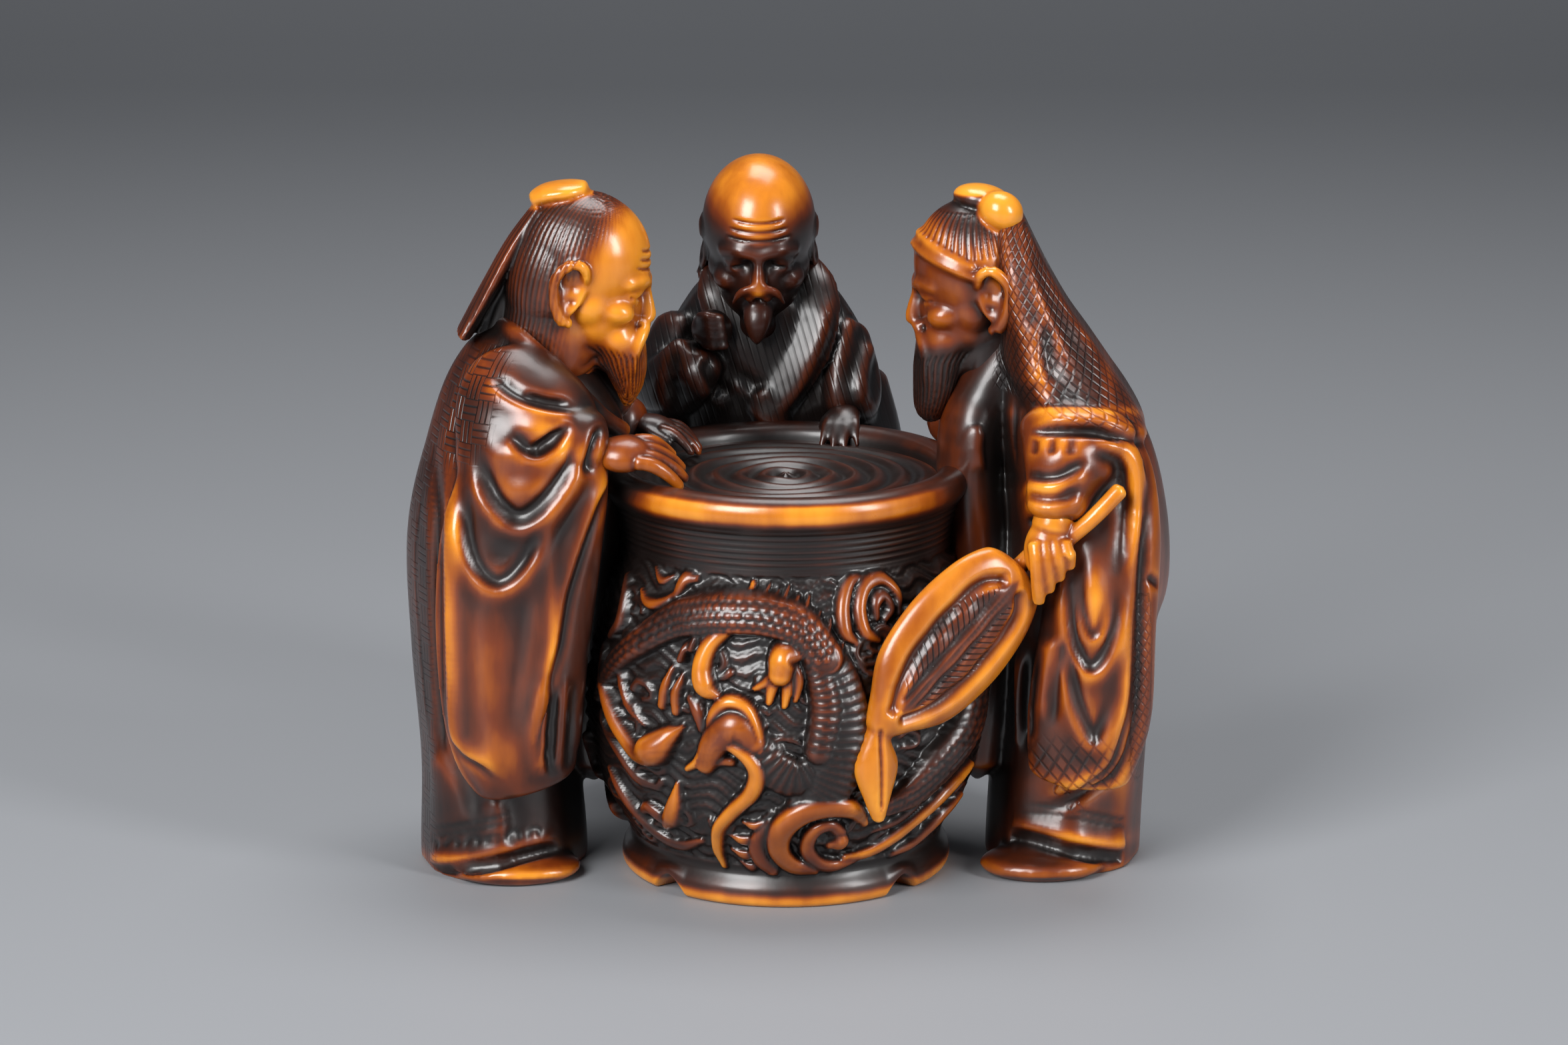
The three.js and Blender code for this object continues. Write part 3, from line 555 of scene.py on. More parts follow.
# %% Clouds round the back, the dragon's fins and low wisps
BACK_CLOUDS = [(105, 6), (128, 13), (150, 5), (176, 11), (205, 5), (228, 13), (250, 6), (280, 13.5),
               (286, 6)]
for degrees, height in BACK_CLOUDS:
    curl = []
    for i in range(8):
        shrink = 1 - 0.13 * i
        curl.append((degrees + 14 * shrink * math.cos(0.75 * i),
                     height + 2.4 * shrink * math.sin(0.75 * i), 0.5 - 0.04 * i))
    STRANDS.append((curl, 1.1, 0.4, ""))
    STRANDS.append(([(degrees - 16, height - 1.8, 0.2), (degrees - 2, height - 2.7, 0.55),
                     (degrees + 15, height - 1.6, 0.2)], 1.0, 0.35, ""))
# The fins stand along the dragon's back, every 3 degrees or so, and every other one is taller
for i in range(15):
    at, outward = -30 + 3.1 * i, 0.35 + 0.25 * (i % 2)
    back_line = 17.5 - 0.0045 * (at + 6) ** 2 - (0.0011 * (at + 6) ** 3 / 8 if at > -6 else 0)
    fin = [(at, back_line - 1.0, 0.26), (at + 1.2, back_line - 0.3, 0.24),
           (at + 3.2, back_line + outward - 0.2, 0.08)]
    STRANDS.append((fin, 2.6, 0.55 if at > -14 else 0.2, ""))
# Low wisps of cloud fill the ground between the large forms
draw = np.random.default_rng(11)
for i in range(64):
    degrees, height = draw.uniform(-66, 66), draw.uniform(2.9, 17.6)
    size, way = draw.uniform(0.5, 1.0), draw.choice((-1, 1))
    wisp = []
    for k in range(6):
        turn = 0.9 * k + i
        wisp.append((degrees + way * 5.2 * size * math.cos(turn),
                     height + size * math.sin(turn) * (1 - 0.12 * k), 0.24 - 0.022 * k))
    STRANDS.append((wisp, 0.75, draw.uniform(0.02, 0.22), ""))
print("strands in all:", len(STRANDS))

# %% How high the relief stands at each point
# In mm: the jar's mean radius, a strand's reach, the relief's lowest and highest edge, and the
# length and width of a scale
JAR_MEAN, STRAND_REACH, RELIEF_LOW, RELIEF_HIGH = 11.0, 1.6, 1.8, 18.6
SCALE_LONG, SCALE_WIDE = 0.46, 0.42


def relief(skin):
    """Height above the wall and polish of the relief, for every point of the wall."""
    degrees = np.degrees(np.arctan2(skin[:, 0], -skin[:, 1]))
    degrees = np.where(degrees < -75, degrees + 360, degrees)
    unrolled = np.stack([np.radians(degrees) * JAR_MEAN, np.zeros(len(skin)), skin[:, 2]], 1)
    tall, polish = np.zeros(len(skin)), np.zeros(len(skin))
    for points, height, shine, cut in STRANDS:
        line = np.array([(math.radians(a) * JAR_MEAN, 0, z, r) for a, z, r in points])
        near = ((unrolled > line[:, :3].min(0) - STRAND_REACH)
                & (unrolled < line[:, :3].max(0) + STRAND_REACH)).all(1)
        near &= (skin[:, 2] > RELIEF_LOW) & (skin[:, 2] < RELIEF_HIGH)
        if not near.any():
            continue
        side, share = beside(unrolled[near], np.array([0, -1, 0]), line[:, :3])
        radius = along(line[:, 3:4], share)[:, 0]
        inside = np.clip(1 - (side / radius) ** 2, 0, 1)
        rise = height * radius * inside ** 0.42
        length = np.linalg.norm(np.diff(line[:, :3], axis=0), axis=1).sum()
        if cut == "scales":
            row, lane = share * length / SCALE_LONG, side / SCALE_WIDE
            shift = 0.5 * (np.rint(lane) % 2)
            bead = (row + shift - np.rint(row + shift)) ** 2 + (lane - np.rint(lane)) ** 2
            rise += 0.11 * np.clip(1 - 4.2 * bead, 0, 1) ** 0.5 * (inside > 0.15)
        if cut == "rings":
            rise += 0.05 * np.cos(2 * math.pi * share * length / SCALE_WIDE) * (inside > 0.1)
        higher = rise > tall[near]
        where = np.flatnonzero(near)[higher]
        tall[where] = rise[higher]
        polish[where] = (shine * np.clip(inside / 0.5, 0, 1) ** 0.5)[higher]
    ground = (tall == 0) & (skin[:, 2] > 2.3) & (skin[:, 2] < 18.2)
    a, b = unrolled[:, 0], skin[:, 2]
    ripple = np.cos(9 * b + 2.6 * np.sin(1.9 * a + 0.8 * np.sin(1.4 * b)) + 1.5 * a)
    tall[ground] = (0.07 * ripple + 0.03 * np.cos(13 * a) * np.cos(14 * b) - 0.1)[ground]
    return tall, polish, degrees


print("scales:", SCALE_LONG, "by", SCALE_WIDE, "mm")

# %% Raising the relief, the lines on the neck and the bracket foot
# How far columns gather at the front, the neck's lined part, and half a notch of the foot in degrees
GATHER, NECK_LOW, NECK_HIGH, HALF_NOTCH = 0.45, 18.5, 20.7, 7.5
skin = places(jar)
turn = np.arctan2(skin[:, 0], -skin[:, 1])
radius = np.hypot(skin[:, 0], skin[:, 1])
turn -= GATHER * np.sin(turn)
skin[:, 0], skin[:, 1] = radius * np.sin(turn), -radius * np.cos(turn)
tall, jar_polish, degrees = relief(skin)
wall_part = (radius > 8.2) & (skin[:, 2] > 0.02)
tall *= wall_part
lined = wall_part & (skin[:, 2] > NECK_LOW) & (skin[:, 2] < NECK_HIGH)
tall += np.where(lined, 0.06 * np.cos(skin[:, 2] * 18), 0)
skin[:, 0] += tall * np.sin(turn)
skin[:, 1] -= tall * np.cos(turn)
notch = np.abs((degrees + 360) % 90 - 45) / HALF_NOTCH
lift = np.clip(1 - notch ** 1.6, 0, 1) * np.clip((radius - 6.2) / 2.2, 0, 1)
skin[:, 2] += lift * np.clip(1 - skin[:, 2] / 1.7, 0, 1)
move(jar, skin)
relax(jar, times=1, strength=0.35)
print("relief stands out to", round(float(tall.max()), 2), "mm")

# %% [markdown]
# The vinegar fills the jar almost to the lip. It is carved like the rest, as rings that spread
# from the middle, and they lead the eye to the sages' hands. Displacing a disc would do, but rings
# are turned work too, so the lathe makes them. A slow three-fold wave keeps them from looking
# machined.

# %% The vinegar
# In mm: the surface's height, its radius, the distance between ripples, and half a ripple's height
LEVEL, SURFACE, RIPPLE, HALF_RIPPLE = 21.55, 8.2, 1.25, 0.13
surface = [(r, LEVEL + HALF_RIPPLE * math.cos(2 * math.pi * r / RIPPLE) * min(1, (SURFACE - r) / 1.5))
           for r in np.linspace(SURFACE, 0, 90)]
vinegar = turned_on_lathe([(0, 20.2), (8.3, 20.2), (8.35, 21.3)] + surface, 120)
skin = places(vinegar)
swirl = np.arctan2(skin[:, 1], skin[:, 0])
top = skin[:, 2] > 21
skin[top, 2] += (0.05 * np.sin(3 * swirl + 1.1 * np.hypot(skin[:, 0], skin[:, 1])))[top]
move(vinegar, skin)
print("vinegar:", len(vinegar.vertices), "vertices")

# %% [markdown]
# ## Heads
# A carver starts a head from an egg and keeps to handed-down proportions: eyes halfway down, the
# nose ending halfway from brow to chin, an ear from brow to nose. All three faces are calm and
# built from that one scheme, so each differs only in its hair, beard and cap. Sizes are shares of
# the head's height, and the face looks along its own +X.

# %% The scheme of a head
HEAD = 9.4


def head(lump, at, h=HEAD, nape=0.39, ear=0.0):
    """A bare head with its ears. The nape is how far the skull reaches back; ears may lie closer."""
    def egg(centre, radii, turn=(0, 0, 0)):
        ball(lump, [c * h for c in centre], [r * h for r in radii], turn, at)

    def band(stations, **more):
        limb(lump, [[c * h for c in s] for s in stations], at=at, sides=16, rows=18, **more)

    # Skull, face, jaw, chin and cheekbones, then the brow and the nose
    egg((0.35 - nape, 0, 0.12), (nape, 0.32, 0.38))
    egg((0.10, 0, -0.10), (0.25, 0.25, 0.34))
    egg((0.05, 0, -0.22), (0.24, 0.22, 0.22))
    egg((0.215, 0, -0.40), (0.12, 0.12, 0.095))
    egg((0.06, 0, -0.1), (0.2, 0.29, 0.2))
    band([(0.22, -0.23, 0.05, 0.035), (0.315, -0.12, 0.085, 0.045), (0.345, 0, 0.06, 0.035),
          (0.315, 0.12, 0.085, 0.045), (0.22, 0.23, 0.05, 0.035)])
    band([(0.325, 0, 0.06, 0.035, 0.04), (0.365, 0, -0.03, 0.036, 0.045),
          (0.395, 0, -0.11, 0.044, 0.05), (0.405, 0, -0.165, 0.05, 0.045)], across=(0, 1, 0))
    for side in (-1, 1):
        # Nostril, eyeball, cheek, upper and lower lid, and the ear with its rolled rim
        egg((0.375, side * 0.052, -0.17), (0.045, 0.034, 0.032))
        egg((0.262, side * 0.125, -0.005), (0.072, 0.068, 0.058))
        egg((0.215, side * 0.175, -0.11), (0.11, 0.085, 0.075))
        band([(0.275, side * 0.055, -0.01, 0.014), (0.328, side * 0.115, 0.028, 0.02),
              (0.262, side * 0.195, 0.0, 0.016)])
        band([(0.275, side * 0.06, -0.02, 0.012), (0.318, side * 0.12, -0.045, 0.016),
              (0.262, side * 0.19, -0.02, 0.014)])
        egg((-0.055, side * 0.30, -0.03), (0.085, 0.035, 0.17), (side * 8, 12, 0))
        band([(0.015, side * 0.315, 0.02, 0.02), (-0.01, side * (0.345 - ear / 2), 0.11, 0.03),
              (-0.085, side * (0.365 - ear), 0.13, 0.034), (-0.155, side * (0.365 - ear), 0.03, 0.035),
              (-0.13, side * (0.345 - ear), -0.11, 0.034), (-0.06, side * 0.32, -0.21, 0.04),
              (-0.01, side * 0.305, -0.19, 0.03)])
    # Upper and lower lip
    band([(0.295, -0.095, -0.285, 0.012), (0.335, -0.045, -0.268, 0.026), (0.345, 0, -0.272, 0.024),
          (0.335, 0.045, -0.268, 0.026), (0.295, 0.095, -0.285, 0.012)])
    band([(0.3, -0.07, -0.305, 0.012), (0.332, 0, -0.318, 0.03), (0.3, 0.07, -0.305, 0.012)])


def features(mesh, at, h=HEAD, lines=3):
    """Blends the face, then cuts eyelids, mouth, ear hollows and the quiet lines of age."""
    relax(mesh, 16, 0.5, soft_step(own(places(mesh), at)[:, 0] / h, 0.0, 0.1))

    def cut(points, width, depth, **more):
        carve(mesh, [[c * h for c in p] for p in points], width, depth, turned=at, **more)

    def thumb(x, y, z, radius, depth):
        press(mesh, (x * h, y * h, z * h), radius * h, depth * h, at)

    for side in (-1, 1):
        # Corner of the eye, lower lid, upper lid, cheek line, and the two hollows of the ear
        thumb(0.325, side * 0.06, 0, 0.045, 0.02)
        cut([(0.295, side * 0.06, -0.005), (0.33, side * 0.12, -0.012),
             (0.265, side * 0.19, -0.012)], 0.1, 0.2)
        cut([(0.29, side * 0.06, 0.03), (0.32, side * 0.12, 0.045),
             (0.255, side * 0.2, 0.025)], 0.11, 0.14)
        cut([(0.365, side * 0.085, -0.15), (0.325, side * 0.12, -0.23),
             (0.29, side * 0.135, -0.3)], 0.16, 0.16)
        thumb(-0.055, side * 0.35, 0, 0.055, 0.035)
        thumb(-0.04, side * 0.35, -0.08, 0.04, 0.03)
    cut([(0.3, -0.095, -0.292), (0.35, 0, -0.294), (0.3, 0.095, -0.292)], 0.11, 0.22)
    skin, out = places(mesh), normals(mesh)
    x, y, z = (own(skin, at) / h).T
    for i in range(lines):
        level = z - 0.15 - 0.05 * i - 0.3 * y ** 2
        shown = soft_step(x, 0.05, 0.12) * soft_step(0.2 - 0.02 * i - np.abs(y), 0, 0.06)
        skin -= out * (0.13 * np.exp(-((level / 0.009) ** 2)) * shown)[:, None]
    move(mesh, skin)


print("head scheme ready, mm high:", HEAD)

# %% The scheme of a hand
# How long each finger is, from the first to the little one, and how far the tips spread
FINGERS, SPREAD = (0.9, 1.0, 0.96, 0.8), 0.05


def hand(lump, at, length, curl, thumb, thick):
    """A hand whose fingers lie along its own +X, palm down, and curl down. The thumb is on its
    left at 1, and on its right at -1."""
    size = thick * length / 5
    ball(lump, (0.26 * length, 0, 0), (0.3 * length, 0.24 * length, 0.13 * thick * length), at=at)
    for i, reach in enumerate(FINGERS):
        y = (i - 1.5) * 0.118 * length
        drop = curl * length * reach
        out = (i - 1.5) * SPREAD * length
        limb(lump, [(0.34 * length, y, 0.03 * length, 0.3 * size),
                    (0.56 * length, y + 0.3 * out, 0.03 * length - 0.08 * drop, 0.31 * size),
                    ((0.34 + 0.45 * reach) * length, y + 0.7 * out, -0.35 * drop, 0.27 * size),
                    ((0.34 + 0.62 * reach) * length, y + out, -0.85 * drop, 0.2 * size)],
             sides=12, rows=12, at=at)
    limb(lump, [(0.12 * length, thumb * 0.12 * length, 0, 0.4 * size),
                (0.34 * length, thumb * 0.26 * length, -0.05 * length, 0.33 * size),
                (0.62 * length, thumb * 0.3 * length, -0.12 * length, 0.2 * size)],
         sides=12, rows=10, at=at)


print("fingers, as shares of the longest:", FINGERS)


# %% [markdown]
# ## The sage on the left
# They lean over the jar in a wide robe. The near sleeve hangs almost to the ground, and its folds
# run in deep U shapes from the shoulder to the wrist that rests on the rim. The masses are welded
# first, the folds are cut into the weld, and the finished skin stays a single closed surface.

# %% Left sage: masses of the robe
# Every mass is measured from the point on the ground under its sage
LEFT = -15.3
LEFT_FOOT = (LEFT, 0, 0)
cloth = bmesh.new()
# The body, from under the ground to the shoulders
limb(cloth, [(-0.2, 0.5, -3, 4.5, 5.4), (-0.2, 0.5, 1, 4.5, 5.4), (-0.3, 0.5, 6, 4.3, 5.2),
             (-0.4, 0.5, 12, 4.6, 5.7), (-0.2, 0.4, 18, 4.9, 6.2), (0.5, 0.3, 22.5, 4.6, 6.2),
             (1.0, 0.2, 26, 4.0, 5.4), (1.5, 0.1, 28.4, 3.0, 3.8), (1.9, 0.1, 29.8, 1.8, 2.4)],
     sides=64, rows=60, relief=flutes(8, 0.018), foot=LEFT_FOOT)
# The near sleeve, and the far one behind it
limb(cloth, [(0.9, -2.2, 28.8, 1.8, 1.4), (1.2, -3.9, 27.0, 3.3, 2.1), (1.8, -5.1, 24.8, 3.9, 2.4),
             (2.0, -5.6, 22.4, 4.0, 2.4), (1.2, -6.0, 18, 4.3, 2.2), (0.8, -6.1, 12.5, 4.0, 2.1),
             (1.0, -6.0, 8.2, 3.5, 1.8), (1.8, -5.7, 5.5, 2.5, 1.2)], sides=48, rows=60, foot=LEFT_FOOT)
limb(cloth, [(1.4, 3.0, 27.6, 1.6, 1.2), (1.6, 5.0, 25.0, 2.9, 1.7), (2.0, 6.0, 22, 3.7, 2.0),
             (1.4, 6.6, 15, 3.8, 1.9), (1.8, 6.2, 8.6, 2.0, 1.0)], sides=40, rows=40,
     relief=flutes(5, 0.04), foot=LEFT_FOOT)
# The near and the far forearm
limb(cloth, [(1.0, -5.2, 24.6, 2.0, 2.0), (4.2, -5.6, 24.7, 1.9, 1.9), (6.0, -5.6, 24.4, 1.5, 1.5)],
     across=(0, 0, 1), foot=LEFT_FOOT)
limb(cloth, [(1.6, 5.4, 24.4, 1.9, 1.9), (5.6, 4.6, 23.8, 1.6, 1.5), (7.6, 4.0, 23.4, 1.0, 1.2)],
     across=(0, 0, 1), foot=LEFT_FOOT)
# The toe of a shoe under the hem
ball(cloth, (0.6, -3.4, 0.6), (3.6, 2.4, 0.9), foot=LEFT_FOOT)
# The rolled collar, the chest behind the beard, and the front of the robe
limb(cloth, [(1.0, 3.4, 28.4, 0.5), (0.3, 0, 29.7, 0.6), (1.7, -3.0, 29.2, 0.6),
             (4.0, -3.7, 27.2, 0.55), (5.6, -3.0, 25.4, 0.5), (6.8, -0.6, 24.0, 0.5)], foot=LEFT_FOOT)
limb(cloth, [(3.0, 1.4, 28.2, 1.3), (4.9, 1.8, 26.3, 1.5), (6.2, 2.2, 24.2, 1.4)], foot=LEFT_FOOT)
limb(cloth, [(2.4, 0, 28.6, 0.9, 1.0), (3.2, 0, 26.6, 1.9, 2.4), (4.8, 0, 23.9, 1.9, 2.6),
             (5.0, 0, 20, 1.9, 3.2), (4.6, 0.6, 12, 1.9, 3.2), (4.8, 0.6, 4.2, 1.3, 2.2)],
     foot=LEFT_FOOT)
cut_off(cloth)
left_robe = kneaded(cloth, voxel=0.16, times=3)
print("left robe:", len(left_robe.vertices), "vertices")

# %% Left sage: folds of the robe
# Lines of (x, z) on an upright sheet 7 mm in front of the axis, each with its width and height. A
# height below 0 turns the steep side of a fold the other way. The cuts have a depth instead.
SHEET = -7
LEFT_FOLDS = [
    ([(-16.8, 25.4), (-16.4, 23.6), (-15.9, 22.2), (-15.3, 21.2), (-14.5, 20.5), (-13.7, 20.4),
      (-12.9, 20.8), (-12.0, 21.7), (-11.2, 22.9), (-10.7, 24.1), (-10.2, 25.4)], 0.36, 0.42),
    ([(-17.25, 25.0), (-17.2, 21.5), (-17.0, 19.3), (-16.4, 17.8), (-15.4, 17.0), (-14.4, 17.2),
      (-13.5, 18.1), (-12.8, 19.3), (-12.3, 20.6)], 0.32, 0.3),
    ([(-15.6, 28.6), (-15.0, 27.6), (-14.0, 26.9), (-12.9, 26.5), (-11.7, 26.3),
      (-10.7, 26.3)], 0.36, 0.34),
    ([(-14.8, 25.4), (-14.0, 24.3), (-13.0, 23.9), (-12.0, 24.3), (-11.0, 25.3)], 0.34, 0.34),
    ([(-8.3, 25.3), (-9.0, 23.5), (-9.9, 21.9), (-10.4, 20.6), (-11.1, 18.6), (-11.7, 16.6),
      (-12.1, 14.3), (-12.5, 12.8), (-13.0, 10.8), (-13.4, 8.8), (-13.2, 6.3)], 0.2, 0.22),
    ([(-17.7, 26.0), (-17.75, 20.0), (-17.8, 15.0), (-17.7, 9.8), (-17.1, 8.3), (-15.9, 7.5),
      (-14.7, 6.4)], 0.24, -0.24),
    ([(-12.5, 12.4), (-12.8, 9.2), (-12.9, 6.4)], 0.3, 0.25),
    ([(-11.6, 12.6), (-11.9, 9.2), (-12.1, 6.8)], 0.3, 0.25),
    ([(-19.4, 1.9), (-18.5, 1.75), (-17, 2.0), (-15, 2.5), (-13.3, 2.9), (-12, 3.1)], 0.26, -0.26),
    ([(-18.9, 8.2), (-17.6, 6.0), (-17.0, 3.6)], 0.5, 0.2),
    ([(-15.6, 5.6), (-15.2, 4.0), (-15.6, 2.8)], 0.5, 0.18),
]
LEFT_CUTS = [
    ([(-13.4, 24.4), (-12.4, 24.95), (-11.1, 26.0)], 0.24, 0.5),
    ([(-13.7, 27.5), (-12.5, 27.15), (-11.2, 27.0)], 0.26, 0.3),
    ([(-9.5, 26.0), (-10.0, 24.6), (-10.4, 23.0)], 0.24, 0.5),
    ([(-18.35, 26.4), (-18.4, 20.0), (-18.45, 15.0), (-18.4, 9.5), (-17.9, 7.6)], 0.28, 0.45),
    ([(-12.2, 12.0), (-12.4, 9.2), (-12.6, 6.8)], 0.2, 0.35),
    ([(-19.2, 24.0), (-19.3, 18.0), (-19.2, 12.0), (-19.0, 8.5)], 0.4, 0.16),
    ([(-19.4, 3.1), (-17, 3.5), (-14, 4.3)], 0.1, 0.14),
    ([(-19.4, 3.5), (-17, 3.9), (-14, 4.7)], 0.1, 0.14),
    ([(-19.4, 0.9), (-17, 1.2), (-13.3, 2.2), (-11.8, 2.4)], 0.2, 0.35),
    ([(-16.4, 0.75), (-14, 0.7), (-11.6, 0.75)], 0.14, 0.12),
]
LEFT_SWELLS = [(-13.4, 22.4, 1.6, 1.0, 15, 0.4), (-15.2, 24.4, 0.9, 1.8, 25, 0.3),
               (-13.0, 25.6, 1.2, 0.5, -8, 0.2), (-14.6, 19.2, 1.4, 1.1, 20, -0.3),
               (-16.0, 13.0, 0.8, 4.0, 0, 0.22), (-14.3, 12.5, 0.6, 3.6, -8, -0.24),
               (-14.0, 15.6, 0.9, 1.4, -10, -0.2), (-15.2, 8.4, 1.3, 1.4, 0, 0.25),
               (-11.6, 20.4, 0.5, 2.4, -25, -0.22)]
print("left robe:", len(LEFT_FOLDS), "folds,", len(LEFT_CUTS), "cuts,", len(LEFT_SWELLS), "swellings")

# %% Left sage: cutting the folds, and the waves along the hem
swell(left_robe, LEFT_SWELLS, SHEET)
cut_all(fold, left_robe, LEFT_FOLDS, sheet=SHEET, ends=0.22)
cut_all(carve, left_robe, LEFT_CUTS, sheet=SHEET, ends=0.25)
for i in range(6):
    x, z = -18.9 + 1.1 * i, 0.16 * i
    wave = [(x - 0.45, 2.35 + z), (x - 0.1, 2.85 + z), (x + 0.3, 2.75 + z), (x + 0.2, 2.45 + z)]
    carve(left_robe, wave, 0.09, 0.12, sheet=SHEET)
hang(left_robe, (LEFT - 0.3, 0.5), folds=11, depth=0.2)
relax(left_robe, 2)
print("left robe:", len(left_robe.polygons), "faces, all still in one skin")

# %% Left sage: head, cap and beard
left_place = pose((LEFT + 4.6, 0, 32.3), nod=14)
lump = bmesh.new()
head(lump, left_place)
# The hair over the skull and down the neck
ball(lump, (3.2, 0, 32.5), (2.75, 2.95, 4.1), (0, 14, 0), foot=LEFT_FOOT)
limb(lump, [(3.2, 0, 33.0, 2.4), (2.9, 0, 29.4, 2.6), (3.6, 0, 26.4, 2.0)], across=(0, 1, 0),
     foot=LEFT_FOOT)
# The cloth that falls behind, the web that carries it, and the flat cap
limb(lump, [(2.5, 0, 36.3, 1.1, 0.5), (0.9, 0, 34.2, 1.5, 0.5), (-0.6, 0, 31.6, 1.9, 0.5),
            (-2.0, 0, 29.1, 2.2, 0.45)], across=(0, 1, 0), foot=LEFT_FOOT)
limb(lump, [(2.6, 0, 34.2, 0.5, 1.4), (1.2, 0, 31.4, 0.5, 1.6), (0.4, 0, 28.6, 0.6, 1.9)],
     across=(0, 1, 0), foot=LEFT_FOOT)
limb(lump, [(1.75, 0, 36.45, 0.75, 0.4), (2.6, 0, 36.85, 1.3, 0.55), (3.8, 0, 37.05, 1.45, 0.55),
            (4.9, 0, 37.15, 0.8, 0.4)], across=(0, 1, 0), foot=LEFT_FOOT)
# The beard
limb(lump, [(4.8, 0, 31.0, 0.8, 0.7), (6.1, 0, 29.5, 1.9, 1.45), (6.6, 0, 28.2, 1.7, 1.3),
            (6.85, 0, 26.8, 1.15, 0.95), (6.8, 0, 25.6, 0.5, 0.4), (6.75, 0, 25.2, 0.15, 0.12)],
     across=(0, 1, 0), foot=LEFT_FOOT)
# Both halves of the moustache
for side in (-1, 1):
    limb(lump, [(7.9, side * 0.3, 29.9, 0.3), (7.7, side * 1.0, 29.5, 0.36),
                (7.3, side * 1.4, 28.5, 0.32), (7.3, side * 1.3, 27.3, 0.12)], foot=LEFT_FOOT)
left_head = kneaded(lump, voxel=0.1, times=3)
features(left_head, left_place)
print("left head:", len(left_head.vertices), "vertices")

# %% [markdown]
# Hair on an ivory figure is a set of fine parallel cuts, made with a graver that has several
# teeth. `comb` does the same: it waves the skin in and out over a number that counts the strands.

# %% Combed hair
def comb(mesh, strand, where, depth=0.05):
    """Cuts combed lines: `strand` counts strands at each vertex, and `where` fades from 0 to 1."""
    skin, out = places(mesh), normals(mesh)
    wave = np.abs((strand % 1) - 0.5) * 2
    push = -depth * (1 - wave) ** 2 * np.clip(where, 0, 1)
    move(mesh, skin + out * push[:, None])


def comb_beard(mesh, at, middle, chain):
    """Combs a beard lengthwise, around the line of (height, x) that it hangs along."""
    skin = places(mesh)
    mine = own(skin, at) / HEAD
    beard = soft_step(-(mine[:, 2] + 0.31), 0, 0.05) * soft_step(mine[:, 0], 0.06, 0.14)
    centre = np.interp(skin[:, 2], *zip(*chain))
    turn = np.degrees(np.arctan2(skin[:, 1] - middle, skin[:, 0] - centre))
    comb(mesh, turn / 10 + 0.3 * np.sin(1.4 * skin[:, 2]), beard, 0.09)


print("comb and beard comb ready")

# %% Left sage: combing
skin = places(left_head)
x, y, z = (own(skin, left_place) / HEAD).T
cap = soft_step(skin[:, 2] - 0.24 * (skin[:, 0] - LEFT), 35.55, 35.8) * (skin[:, 0] < LEFT + 5.15)
# Above 0 behind the hair's edge, which leans back over the bald crown
hair_edge = -x - 0.1 + 0.52 * np.clip(z - 0.12, 0, 1)
behind_ear = 1 - np.exp(-(((x + 0.05) / 0.13) ** 2 + ((z + 0.03) / 0.2) ** 2))
fan_out = np.degrees(np.arctan2(np.abs(y) + 0.02, -(x - 0.02)))
hair = soft_step(hair_edge, -0.12, 0.05) * np.where(z > 0.02, 1, behind_ear) * (1 - cap)
comb(left_head, fan_out / 5.5 + 6 * x, hair, 0.06)
comb_beard(left_head, left_place, 0,
           [(25.6, LEFT + 6.8), (28.2, LEFT + 6.5), (29.5, LEFT + 5.8), (31, LEFT + 4.4)])
print("hair covers", round(100 * float(hair.mean())), "percent of the left head")

# %% Left sage: hands
lump = bmesh.new()
near = pose((LEFT + 5.5, -5.7, 24.0), heading=4, roll=26)
far = pose((LEFT + 7.0, 4.2, 23.5), heading=-12, nod=8)
hand(lump, near, length=4.9, curl=0.4, thumb=1, thick=1.35)
hand(lump, far, length=4.2, curl=0.3, thumb=-1, thick=1.2)
left_hands = kneaded(lump, voxel=0.1, times=2)
print("left hands:", len(left_hands.vertices), "vertices")

# %% [markdown]
# ## The sage on the right
# A hood falls from the cap's knob over the shoulders, and ends in a plain border. The near hand
# comes out of a cuff and holds the handle of a leaf fan that leans on the jar.

# %% Right sage: masses of the robe and hood
RIGHT = 15.3
RIGHT_FOOT = (RIGHT, 0, 0)
cloth = bmesh.new()
# The body, from under the ground to the neck
limb(cloth, [(0, 1.4, -3, 4.2, 5.1), (0, 1.4, 1, 4.2, 5.1), (0.2, 1.4, 6, 4.2, 5.0),
             (0.4, 1.3, 13, 4.4, 5.3), (0.7, 1.2, 16.0, 4.75, 6.0), (0.8, 1.2, 19, 4.5, 6.0),
             (0.2, 1.1, 22.6, 4.1, 5.6), (-1.2, 1.0, 26, 3.2, 4.4), (-2.4, 1.0, 29, 2.0, 2.6)],
     sides=64, rows=60, relief=flutes(8, 0.018), foot=RIGHT_FOOT)
# The hood is cut off at a slant over the shoulders, where its border lies


def hood_folds(angle, even):
    """Nine soft folds, and corners in front and behind."""
    return 1 + 0.016 * np.cos(9 * angle + 0.6) + 0.14 * np.sin(2 * angle) ** 2


hood = bmesh.new()
limb(hood, [(11.9, 0.9, 36.2, 0.5, 1.2), (12.0, 0.9, 35.0, 0.95, 2.5), (12.5, 0.9, 33.0, 1.45, 3.7),
            (13.15, 0.9, 31.0, 1.95, 4.2), (13.85, 0.9, 29.4, 2.4, 4.5), (14.5, 0.9, 27.8, 2.85, 5.1),
            (15.4, 0.95, 26.2, 3.05, 5.9), (16.1, 1.0, 24.6, 3.15, 6.6), (16.3, 1.0, 22.6, 3.3, 6.9)],
     sides=72, rows=70, relief=hood_folds, level=True)
cut_off(hood, (14.0, -5, 25.35), (-0.2, 0, -1))
cloth.from_mesh(as_mesh(hood, "hood"))
